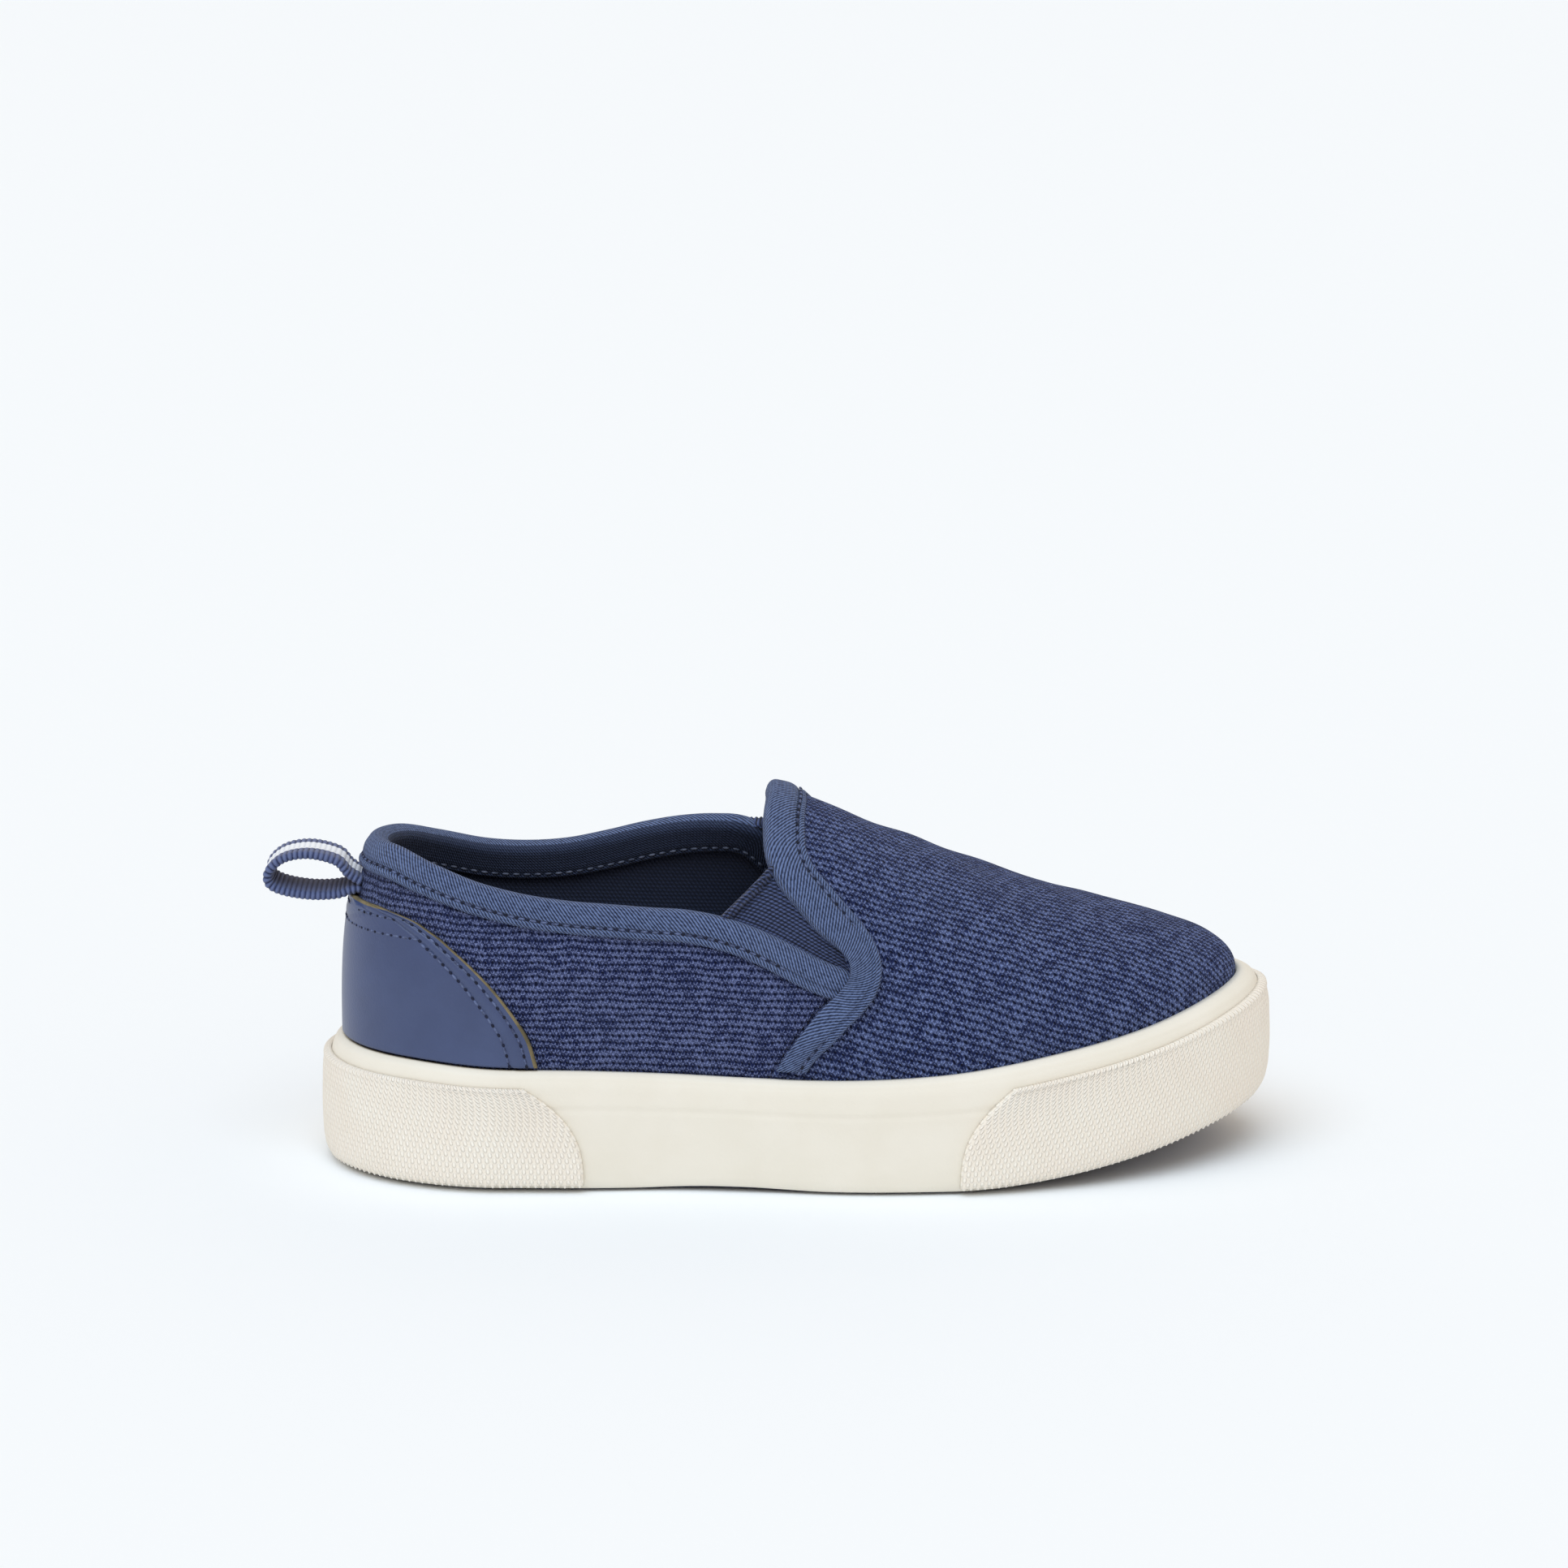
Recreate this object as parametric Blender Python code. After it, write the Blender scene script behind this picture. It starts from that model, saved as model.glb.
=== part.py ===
# A child's right slip-on sneaker: knitted upper on a rubber cup sole.
# Built with +X from heel to toe, +Y to the inner (medial) side, +Z up, soles on z = 0.
import math

import bmesh
import bpy
import numpy as np
from mathutils import Vector

MM = 0.001

# Driving dimensions
SOLE_LENGTH = 178 * MM
LATERAL_HALF = 31.0 * MM
MEDIAL_HALF = 31.5 * MM
TOE_SHIFT = 4.0 * MM
RIM_HEIGHT = 22 * MM
INSTEP_HEIGHT = 68.9 * MM
COLLAR_HEIGHT = 59.9 * MM
TOE_SPRING = 10.5 * MM
ARCH_RISE = 0.4 * MM
FLOOR_THICK = 9 * MM

# Walls, sheets and clearances
GAP = 0.3 * MM
UPPER_WALL = 2.0 * MM
SIDE_WALL = 3.0 * MM
BACK_WALL = 4.0 * MM
TOE_WALL = 5.4 * MM
BUMPER_THICK = 0.9 * MM
BUMPER_CLEAR = 0.4 * MM
COUNTER_THICK = 0.8 * MM
COUNTER_CLEAR = 0.6 * MM
BINDING_THICK = 0.9 * MM
EDGE_CLEAR = 0.45 * MM
COLLAR_BINDING_WIDTH = 4.6 * MM
COLLAR_BINDING_INSIDE = 5.4 * MM
THROAT_BINDING_WIDTH = 6.0 * MM
THROAT_BINDING_INSIDE = 4.0 * MM
GORE_THICK = 1.0 * MM
GORE_SINK = 0.6 * MM
INSOLE_THICK = 3.0 * MM
OUTSOLE_THICK = 2.2 * MM
OUTSOLE_INSET = 1.4 * MM
OUTSOLE_SHOWS = 0.7 * MM
GROOVE_DEPTH = 1.2 * MM
GROOVE_WIDTH = 2.0 * MM
RIBBON_WIDTH = 12 * MM
RIBBON_THICK = 1.2 * MM
ROOT_CLEAR = 1.7 * MM
LOOP_REACH = 16.5 * MM

# The origin lies on the ground under the middle of the heel's tread
HEEL_REST = 27 * MM

# Mesh density
RING_STEPS = 34
QUARTER_STEPS = 18
QUARTER_ROWS = 8
VAMP_STEPS = 15
THROAT_ROWS = 8
EDGE_STEPS = 42
THROAT_STEPS = 8
BUMPER_ROWS = 8
HEEL_BUMPER_STEPS = 14
TOE_BUMPER_STEPS = 18
COUNTER_ROWS = 10
COUNTER_STEPS = 13
GORE_ROWS = 9
GORE_STEPS = 4
LOOP_STEPS = 3
MARGIN_LEVELS = (-1.0, -0.5)

# Shape of the ground line, as shares of the sole's length
ARCH_SHARES = (0.32, 0.41, 0.43, 0.52)
SPRING_START = 0.652
SPRING_POWER = 1.7

# The notch between quarter and vamp, as a share of the way up to the ridge
NOTCH_SHARE = 0.42
THROAT_FULLNESS = 2.03

# Where the tapes start, and where the throat's tape folds over the edge, as shares of the way up
COLLAR_TAPE_SHORT = 0.028
TAPE_FOOT = 0.02
FOLD_START = 0.06
FOLD_END = 0.20

# Elastic gores: places along the sole of their rear tops, heights of their front tops
GORE_START = {-1: 0.410, 1: 0.445}
GORE_TOP = {-1: 0.76, 1: 0.84}
GORE_TIP = 0.25
GORE_SLACK = 0.2 * MM

# Guards over the wall: where they end at the foot, and how far their ends slant back
HEEL_BUMPER_END = 0.274
HEEL_BUMPER_SLANT = 0.060
HEEL_BUMPER_TOP = 0.87
TOE_BUMPER_START = 0.654
TOE_BUMPER_SLANT = 0.052
TOE_BUMPER_TOP = 0.83
TOE_BUMPER_CROWN = 0.08
BUMPER_FOOT = 0.03

# Grooves across the tread, clear of the middle of the heel and of the ball
GROOVES = (0.055, 0.090, 0.125, 0.185, 0.220, 0.255, 0.540, 0.575, 0.610, 0.675, 0.710, 0.745, 0.780, 0.815)

# Colours
CREAM = (0.79, 0.77, 0.68)
GUARD_CREAM = (0.78, 0.75, 0.66)
TREAD_NAVY = (0.05, 0.06, 0.11)
LINING_NAVY = (0.05, 0.06, 0.10)
KNIT_NAVY = (0.06, 0.07, 0.14)
LEATHER_NAVY = (0.08, 0.10, 0.17)
TAPE_NAVY = (0.06, 0.08, 0.15)
ELASTIC_NAVY = (0.04, 0.05, 0.10)
RIBBON_NAVY = (0.12, 0.13, 0.22)

# The ends of the last's outline, inside the walls and bumpers
LAST_BACK = BACK_WALL + BUMPER_CLEAR + BUMPER_THICK
LAST_TOE = SOLE_LENGTH - TOE_WALL - BUMPER_CLEAR - BUMPER_THICK
MIDDLE = (LAST_BACK + LAST_TOE) / 2
HALF_LENGTH = (LAST_TOE - LAST_BACK) / 2
HEEL_ROUND = 0.157 * SOLE_LENGTH
TOE_ROUND = 0.32 * SOLE_LENGTH
HEEL_LEAN = 0.100 * SOLE_LENGTH
TOE_LEAN = 0.095 * SOLE_LENGTH
LEAN_END = 0.18 * SOLE_LENGTH

# Sections of the last: half widths and rim height as shares of their named sizes
SECTION_COLUMNS = ("along", "lateral", "medial", "rim", "fullness")
SECTIONS = (
    (0.029, 0.77, 0.76, 1.07, 2.7),
    (0.100, 0.76, 0.75, 1.06, 2.6),
    (0.190, 0.79, 0.76, 1.02, 2.1),
    (0.280, 0.82, 0.74, 1.01, 2.0),
    (0.370, 0.83, 0.74, 0.98, 2.0),
    (0.450, 0.89, 0.80, 0.96, 2.0),
    (0.540, 0.97, 0.90, 0.96, 2.05),
    (0.640, 1.00, 0.99, 1.00, 2.1),
    (0.750, 1.00, 1.02, 1.12, 2.1),
    (0.860, 1.00, 1.00, 1.28, 2.0),
    (0.962, 0.96, 0.96, 1.50, 1.9),
)

# Ridge line of the last, over the open collar only a guide
RIDGE_COLUMNS = ("along", "height")
RIDGE = (
    (0.120, 0.955),
    (0.150, 0.995),
    (0.200, 1.050),
    (0.260, 1.075),
    (0.340, 1.085),
    (0.395, 1.070),
    (0.438, 1.030),
    (0.475, 1.000),
    (0.530, 0.946),
    (0.580, 0.888),
    (0.657, 0.808),
    (0.734, 0.730),
    (0.811, 0.672),
    (0.880, 0.624),
)

# Top line of the quarters
COLLAR_COLUMNS = ("along", "lateral", "medial")
COLLAR = (
    (0.029, 1.000, 1.000),
    (0.067, 0.995, 0.987),
    (0.118, 0.957, 0.948),
    (0.174, 0.905, 0.908),
    (0.219, 0.874, 0.900),
    (0.258, 0.858, 0.908),
    (0.303, 0.847, 0.936),
    (0.343, 0.837, 0.966),
    (0.382, 0.829, 0.985),
    (0.416, 0.810, 0.990),
    (0.441, 0.787, 0.985),
    (0.466, 0.757, 0.950),
    (0.486, 0.729, 0.890),
    (0.506, 0.700, 0.815),
    (0.540, 0.661, 0.695),
    (0.560, 0.640, 0.645),
)

# Rear edge of the vamp, from the seam's foot at the rim up over the throat
EDGE_COLUMNS = ("rise", "lateral", "medial")
VAMP_EDGE = (
    (0.00, 0.463, 0.470),
    (0.10, 0.479, 0.487),
    (0.20, 0.497, 0.506),
    (0.30, 0.517, 0.528),
    (0.37, 0.533, 0.547),
    (0.42, 0.541, 0.558),
    (0.47, 0.542, 0.562),
    (0.53, 0.534, 0.560),
    (0.60, 0.516, 0.550),
    (0.66, 0.499, 0.538),
    (0.72, 0.482, 0.524),
    (0.80, 0.470, 0.505),
    (0.88, 0.468, 0.489),
    (0.96, 0.471, 0.478),
    (1.00, 0.475, 0.475),
)

# Front edge of the heel counter
COUNTER_COLUMNS = ("rise", "along")
COUNTER_EDGE = (
    (0.00, 0.228),
    (0.20, 0.219),
    (0.40, 0.200),
    (0.60, 0.175),
    (0.76, 0.148),
    (0.88, 0.122),
    (0.96, 0.093),
    (1.00, 0.060),
)
COUNTER_RISE = 26.0 * MM

# Side wall from its foot to its lip: share of its height, share of its thickness
WALL_COLUMNS = ("rise", "thick")
WALL = (
    (0.00, 0.66),
    (0.05, 0.82),
    (0.14, 0.94),
    (0.30, 1.00),
    (0.60, 0.98),
    (0.80, 0.90),
    (0.92, 0.72),
    (0.98, 0.48),
    (1.00, 0.28),
)

# Heel loop seen from the side: back from its root and up from its root, as shares of its reach
LOOP_COLUMNS = ("back", "up")
LOOP = (
    (0.09, 0.15),
    (0.22, 0.29),
    (0.52, 0.37),
    (0.80, 0.33),
    (0.97, 0.19),
    (0.97, 0.04),
    (0.80, -0.05),
    (0.50, -0.10),
    (0.22, -0.09),
    (0.06, -0.03),
)


def column(names, rows, name):
    """A smooth curve through one column of a table, against its first column."""
    index = names.index(name)
    places = np.array([row[0] for row in rows])
    values = np.array([row[index] for row in rows])
    slopes = np.gradient(values, places)

    def value(place):
        place = min(max(place, places[0]), places[-1])
        k = min(int(np.searchsorted(places, place, side="right")) - 1, len(places) - 2)
        step = places[k + 1] - places[k]
        s = (place - places[k]) / step
        rise = (3 - 2 * s) * s * s
        return float(
            values[k] * (1 - rise)
            + values[k + 1] * rise
            + step * s * (1 - s) * ((1 - s) * slopes[k] - s * slopes[k + 1])
        )

    return value


lateral_width = column(SECTION_COLUMNS, SECTIONS, "lateral")
medial_width = column(SECTION_COLUMNS, SECTIONS, "medial")
rim_share = column(SECTION_COLUMNS, SECTIONS, "rim")
fullness = column(SECTION_COLUMNS, SECTIONS, "fullness")
ridge_share = column(RIDGE_COLUMNS, RIDGE, "height")
collar_lateral = column(COLLAR_COLUMNS, COLLAR, "lateral")
collar_medial = column(COLLAR_COLUMNS, COLLAR, "medial")
edge_lateral = column(EDGE_COLUMNS, VAMP_EDGE, "lateral")
edge_medial = column(EDGE_COLUMNS, VAMP_EDGE, "medial")
counter_along = column(COUNTER_COLUMNS, COUNTER_EDGE, "along")
wall_thick = column(WALL_COLUMNS, WALL, "thick")


def ramp(value, start, end):
    """0 before start, 1 after end, smooth between."""
    share = min(max((value - start) / (end - start), 0.0), 1.0)
    return share * share * (3 - 2 * share)


def centre_line(x):
    return TOE_SHIFT * ramp(x, 0.52 * SOLE_LENGTH, 1.0 * SOLE_LENGTH)


def ground(x):
    """Underside of the sole: flat heel and ball, low arch, toe spring."""
    share = x / SOLE_LENGTH
    start, full, fall, end = ARCH_SHARES
    arch = ARCH_RISE * ramp(share, start, full) * (1 - ramp(share, fall, end))
    spring = max(share - SPRING_START, 0.0) / (1 - SPRING_START)
    return arch + TOE_SPRING * spring ** SPRING_POWER


def floor_height(x):
    return ground(x) + FLOOR_THICK


def wrapped(turn):
    return (turn + math.pi) % (2 * math.pi) - math.pi


def station(turn):
    """Place along the shoe of a turn round the outline: 0 at the back, pi at the toe."""
    return MIDDLE - HALF_LENGTH * math.cos(turn)


def turn_at(x):
    return math.acos(min(max((MIDDLE - x) / HALF_LENGTH, -1.0), 1.0))


def outline(turn):
    """Outline of the last at the rim. Turns below 0 are lateral, above 0 medial."""
    turn = wrapped(turn)
    x = station(turn)
    share = x / SOLE_LENGTH
    heel = min((x - LAST_BACK) / HEEL_ROUND, 1.0)
    toe = min((LAST_TOE - x) / TOE_ROUND, 1.0)
    ends = math.sqrt(max(1 - (1 - heel) ** 2, 0.0)) * math.sqrt(max(1 - (1 - toe) ** 2, 0.0))
    if turn < 0:
        width = -LATERAL_HALF * lateral_width(share)
    else:
        width = MEDIAL_HALF * medial_width(share)
    return Vector((x, centre_line(x) + width * ends, RIM_HEIGHT * rim_share(share)))


def ridge_place(x):
    heel = max(LEAN_END - x, 0.0) / (LEAN_END - LAST_BACK)
    toe = max(x - (LAST_TOE - TOE_ROUND), 0.0) / TOE_ROUND
    return x + HEEL_LEAN * heel ** 2 - TOE_LEAN * toe ** 2


def ridge_height(x):
    return INSTEP_HEIGHT * ridge_share(ridge_place(x) / SOLE_LENGTH)


def ridge_slope(x):
    step = 0.005
    share = x / SOLE_LENGTH
    return INSTEP_HEIGHT * (ridge_share(share + step) - ridge_share(share - step)) / (2 * step * SOLE_LENGTH)


def last_point(turn, level):
    """Surface of the last: level 0 at the rim, 1 at the ridge, -1 at the floor of the cup."""
    base = outline(turn)
    if level < 0:
        floor = floor_height(base.x) + GAP
        return Vector((base.x, base.y, base.z + (base.z - floor) * level))
    power = fullness(base.x / SOLE_LENGTH)
    angle = level * math.pi / 2
    across = math.cos(angle)
    up = math.sin(angle)
    reach = (abs(across) ** power + up ** power) ** (-1 / power)
    top_x = ridge_place(base.x)
    top = Vector((top_x, centre_line(top_x), ridge_height(base.x)))
    side = reach * across
    tilt = ridge_slope(top_x) * max(base.x - top_x, 0.0) * side * (1 - abs(side))
    return Vector((
        top.x + (base.x - top.x) * side,
        top.y + (base.y - top.y) * side,
        base.z + (top.z - base.z) * reach * up + tilt,
    ))


def level_at(turn, height):
    """Level on the last where the surface reaches a height."""
    base = outline(turn)
    share = (height - base.z) / (ridge_height(base.x) - base.z)
    return level_of_share(turn, share)


def level_of_share(turn, share):
    power = fullness(station(turn) / SOLE_LENGTH)
    share = min(max(share, 0.0), 1.0)
    across = max(1 - share ** power, 0.0) ** (1 / power)
    return math.atan2(share, across) * 2 / math.pi


def slopes_at(turn, level):
    step = 0.002
    along = last_point(turn + step, level) - last_point(turn - step, level)
    up = last_point(turn, level + step) - last_point(turn, level - step)
    return along / (2 * step), up / (2 * step)


def last_normal(turn, level):
    """Unit normal of the last, facing out."""
    along, up = slopes_at(turn, level)
    if along.length < 0.002:
        turn -= math.copysign(0.08, turn)
        along, up = slopes_at(turn, level)
    return up.cross(along).normalized()


def on_last(turn, level, out):
    return last_point(turn, level) + last_normal(turn, level) * out


def stepped(turn, level, direction, distance):
    """Turn and level reached by going a distance over the last in a direction."""
    along, up = slopes_at(turn, level)
    target = direction * distance
    aa = along.dot(along)
    au = along.dot(up)
    uu = up.dot(up)
    ta = target.dot(along)
    tu = target.dot(up)
    scale = aa * uu - au * au
    return turn + (ta * uu - tu * au) / scale, level + (tu * aa - ta * au) / scale


def edge_place(side, share):
    return edge_lateral(share) if side < 0 else edge_medial(share)


def edge_turn(side, share):
    """Turn of the vamp's rear edge at a share of the way up to the ridge."""
    return turn_at(SOLE_LENGTH * edge_place(side, share))


def notch_turn(side):
    return edge_turn(side, NOTCH_SHARE)


def collar_height(side, x):
    share = x / SOLE_LENGTH
    curve = collar_lateral if side < 0 else collar_medial
    return COLLAR_HEIGHT * curve(share)


def collar_level(side, turn):
    return level_at(side * turn, collar_height(side, station(turn)))


def quarter_levels():
    rows = [row / QUARTER_ROWS for row in range(QUARTER_ROWS + 1)]
    return list(MARGIN_LEVELS) + rows


def notch_level(side):
    return collar_level(side, notch_turn(side))


def share_of_level(level):
    """Share of the way up to the ridge of a level, at the throat's fullness."""
    angle = level * math.pi / 2
    up = math.sin(angle)
    return up / (math.cos(angle) ** THROAT_FULLNESS + up ** THROAT_FULLNESS) ** (1 / THROAT_FULLNESS)


def seam_turn(side, level):
    """Turn of the seam and of the vamp's rear edge at a level."""
    return edge_turn(side, share_of_level(max(level, 0.0)))


def quarter_grid(side):
    """Turns and levels of one quarter, from the back seam to the side seam."""
    top = notch_level(side)
    grid = []
    for step in range(QUARTER_STEPS + 1):
        part = step / QUARTER_STEPS
        column_top = top if step == QUARTER_STEPS else collar_level(side, notch_turn(side) * part)
        line = []
        for row in quarter_levels():
            turn = side * part * seam_turn(side, row * top)
            level = row if row < 0 else row * column_top
            line.append((turn, level))
        grid.append(line)
    return grid


def vamp_levels(side):
    top = notch_level(side)
    rows = [row if row < 0 else row * top for row in quarter_levels()]
    rows += [top + (1 - top) * step / THROAT_ROWS for step in range(1, THROAT_ROWS + 1)]
    return rows


def vamp_grid(side):
    """Turns and levels of one half of the vamp, from its rear edge to the toe."""
    grid = []
    for step in range(VAMP_STEPS + 1):
        part = step / VAMP_STEPS
        line = []
        for level in vamp_levels(side):
            start = seam_turn(side, level)
            line.append((side * (start + (math.pi - start) * part), level))
        grid.append(line)
    return grid


def new_object(name, mesh_data, colour, roughness, metallic=0.0):
    """Finish a bmesh as one closed, smooth, coloured object."""
    bmesh.ops.remove_doubles(mesh_data, verts=mesh_data.verts, dist=1e-6)
    bmesh.ops.triangulate(mesh_data, faces=mesh_data.faces)
    bmesh.ops.recalc_face_normals(mesh_data, faces=mesh_data.faces)
    if mesh_data.calc_volume(signed=True) < 0:
        bmesh.ops.reverse_faces(mesh_data, faces=mesh_data.faces)
    mesh = bpy.data.meshes.new(name)
    mesh_data.to_mesh(mesh)
    mesh_data.free()
    mesh.shade_smooth()
    mesh.set_sharp_from_angle(angle=math.radians(40))
    material = bpy.data.materials.new(name)
    material.use_nodes = True
    shader = material.node_tree.nodes["Principled BSDF"]
    shader.inputs["Base Color"].default_value = (*colour, 1.0)
    shader.inputs["Roughness"].default_value = roughness
    shader.inputs["Metallic"].default_value = metallic
    mesh.materials.append(material)
    thing = bpy.data.objects.new(name, mesh)
    thing.location = (-HEEL_REST, 0.0, 0.0)
    bpy.context.scene.collection.objects.link(thing)
    return thing


def sheet(name, grids, inner, outer, colour, roughness):
    """A closed sheet over patches of turns and levels, between two distances off the last."""
    base = bmesh.new()
    out = base.verts.layers.float_vector.new("out")
    for grid in grids:
        lines = []
        for line in grid:
            verts = []
            for turn, level in line:
                vert = base.verts.new(last_point(turn, level))
                vert[out] = last_normal(turn, level)
                verts.append(vert)
            lines.append(verts)
        for first, second in zip(lines, lines[1:]):
            for row in range(len(first) - 1):
                base.faces.new((first[row], second[row], second[row + 1], first[row + 1]))
    bmesh.ops.remove_doubles(base, verts=base.verts, dist=2e-5)
    base.verts.index_update()
    solid = bmesh.new()
    inside = [solid.verts.new(vert.co + vert[out] * inner) for vert in base.verts]
    outside = [solid.verts.new(vert.co + vert[out] * outer) for vert in base.verts]
    for face in base.faces:
        corners = [vert.index for vert in face.verts]
        solid.faces.new([outside[i] for i in corners])
        solid.faces.new([inside[i] for i in reversed(corners)])
    for edge in base.edges:
        if edge.is_boundary:
            a, b = (vert.index for vert in edge.verts)
            solid.faces.new((outside[a], outside[b], inside[b], inside[a]))
    base.free()
    return new_object(name, solid, colour, roughness)


def rings_solid(name, rings, colour, roughness):
    """A closed solid of rings round the shoe, its first and last closed by strips across."""
    solid = bmesh.new()
    loops = [[solid.verts.new(point) for point in ring] for ring in rings]
    count = len(loops[0])
    for first, second in zip(loops, loops[1:]):
        for i in range(count):
            j = (i + 1) % count
            solid.faces.new((first[i], first[j], second[j], second[i]))
    for loop in (loops[0], loops[-1]):
        half = count // 2
        for i in range(half):
            lateral = (-i) % count
            beyond = (-i - 1) % count
            corners = []
            for index in (i, i + 1, beyond, lateral):
                if loop[index % count] not in corners:
                    corners.append(loop[index % count])
            solid.faces.new(corners)
    return new_object(name, solid, colour, roughness)


def plan_normal(turn):
    step = 0.004
    run = outline(turn + step) - outline(turn - step)
    return Vector((-run.y, run.x, 0.0)).normalized()


def wall_reach(turn):
    """Thickness of the sole's wall outside the last."""
    back = ((1 + math.cos(turn)) / 2) ** 4
    toe = ((1 - math.cos(turn)) / 2) ** 5
    return SIDE_WALL + (BACK_WALL - SIDE_WALL) * back + (TOE_WALL - SIDE_WALL) * toe


def plan_point(turn, out):
    base = outline(turn)
    return base + plan_normal(turn) * out


def wall_point(turn, rise, out):
    """Outer face of the sole's wall: rise 0 at its foot, 1 at its lip."""
    reach = GAP + (wall_reach(turn) - GAP) * wall_thick(rise)
    place = plan_point(turn, reach + out)
    foot = ground(place.x) + OUTSOLE_SHOWS
    place.z = foot + (outline(turn).z - foot) * rise
    return place


def ring_turns():
    return [2 * math.pi * i / (2 * RING_STEPS) for i in range(2 * RING_STEPS)]


def flat_ring(out, height):
    ring = []
    for turn in ring_turns():
        place = plan_point(turn, out)
        place.z = height(place.x)
        ring.append(place)
    return ring


def under_ring(out, lift):
    """A ring under the sole, set in from the foot of the wall."""
    ring = []
    for turn in ring_turns():
        foot = wall_point(turn, 0.0, 0.0)
        place = foot - plan_normal(turn) * out
        place.z = ground(place.x) + lift
        ring.append(place)
    return ring


def make_midsole():
    recess = OUTSOLE_THICK + GAP
    rings = [
        under_ring(OUTSOLE_INSET - GAP, recess),
        under_ring(OUTSOLE_INSET - GAP, OUTSOLE_SHOWS),
    ]
    for rise, _ in WALL:
        rings.append([wall_point(turn, rise, 0.0) for turn in ring_turns()])
    rings.append([plan_point(turn, GAP) for turn in ring_turns()])
    rings.append(flat_ring(GAP, floor_height))
    return rings_solid("midsole", rings, CREAM, 0.55)


def make_outsole():
    rings = [
        under_ring(OUTSOLE_INSET + GAP, 0.0),
        under_ring(OUTSOLE_INSET, 0.25 * MM),
        under_ring(OUTSOLE_INSET, OUTSOLE_THICK),
    ]
    sole = rings_solid("outsole", rings, TREAD_NAVY, 0.6)
    cutters = bmesh.new()
    for share in GROOVES:
        x = share * SOLE_LENGTH
        size = Vector((GROOVE_WIDTH, 3 * LATERAL_HALF, 2 * GROOVE_DEPTH))
        made = bmesh.ops.create_cube(cutters, size=1.0)["verts"]
        for vert in made:
            vert.co = Vector((vert.co.x * size.x, vert.co.y * size.y, vert.co.z * size.z))
            vert.co.x += x
            vert.co.z += ground(vert.co.x)
    mesh = bpy.data.meshes.new("groove_cutter")
    cutters.to_mesh(mesh)
    cutters.free()
    cutter = bpy.data.objects.new("groove_cutter", mesh)
    cutter.location = sole.location
    cutter.hide_render = True
    cutter.display_type = "WIRE"
    bpy.context.scene.collection.objects.link(cutter)
    cut = sole.modifiers.new("grooves", "BOOLEAN")
    cut.operation = "DIFFERENCE"
    cut.solver = "EXACT"
    cut.object = cutter


def make_insole():
    inset = -(UPPER_WALL + GAP)
    rings = [
        flat_ring(inset, lambda x: floor_height(x) + GAP),
        flat_ring(inset, lambda x: floor_height(x) + GAP + INSOLE_THICK),
    ]
    return rings_solid("insole", rings, LINING_NAVY, 0.9)


def bumper(name, middle_turn, end_at, top_rise, steps):
    """A guard over the wall: end_at gives the turn where it ends at a share of its height."""
    rows = BUMPER_ROWS
    solid = bmesh.new()
    layers = []
    for out in (BUMPER_CLEAR, BUMPER_CLEAR + BUMPER_THICK):
        lines = []
        for step in range(-steps, steps + 1):
            line = []
            for row in range(rows + 1):
                share = row / rows
                turn = middle_turn + end_at(share) * step / steps
                rise = BUMPER_FOOT + (top_rise(turn) - BUMPER_FOOT) * share
                line.append(solid.verts.new(wall_point(turn, rise, out)))
            lines.append(line)
        layers.append(lines)
    inner, outer = layers
    last = 2 * steps
    for i in range(last):
        for j in range(rows):
            for lines in layers:
                solid.faces.new((lines[i][j], lines[i + 1][j], lines[i + 1][j + 1], lines[i][j + 1]))
        for j in (0, rows):
            solid.faces.new((inner[i][j], inner[i + 1][j], outer[i + 1][j], outer[i][j]))
    for i in (0, last):
        for j in range(rows):
            solid.faces.new((inner[i][j], inner[i][j + 1], outer[i][j + 1], outer[i][j]))
    return new_object(name, solid, GUARD_CREAM, 0.6)


def make_bumpers():
    def heel_end(share):
        return turn_at(SOLE_LENGTH * (HEEL_BUMPER_END - HEEL_BUMPER_SLANT * share ** 3))

    def toe_end(share):
        return math.pi - turn_at(SOLE_LENGTH * (TOE_BUMPER_START + TOE_BUMPER_SLANT * share ** 3))

    def toe_top(turn):
        return TOE_BUMPER_TOP + TOE_BUMPER_CROWN * ((1 - math.cos(turn)) / 2) ** 8

    bumper("heel_bumper", 0.0, heel_end, lambda turn: HEEL_BUMPER_TOP, HEEL_BUMPER_STEPS)
    bumper("toe_bumper", math.pi, toe_end, toe_top, TOE_BUMPER_STEPS)


def make_upper():
    grids = []
    for side in (-1, 1):
        grids.append(quarter_grid(side))
        grids.append(vamp_grid(side))
    return sheet("upper", grids, -UPPER_WALL, 0.0, KNIT_NAVY, 0.95)


def make_counter():
    grid = []
    for step in range(-COUNTER_STEPS, COUNTER_STEPS + 1):
        line = []
        for row in range(COUNTER_ROWS + 1):
            share = row / COUNTER_ROWS
            end = turn_at(SOLE_LENGTH * counter_along(share))
            turn = end * step / COUNTER_STEPS
            foot = outline(turn).z + 2 * GAP
            line.append((turn, level_at(turn, foot + COUNTER_RISE * share)))
        grid.append(line)
    return sheet("heel_counter", [grid], COUNTER_CLEAR, COUNTER_CLEAR + COUNTER_THICK, LEATHER_NAVY, 0.5)


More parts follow.
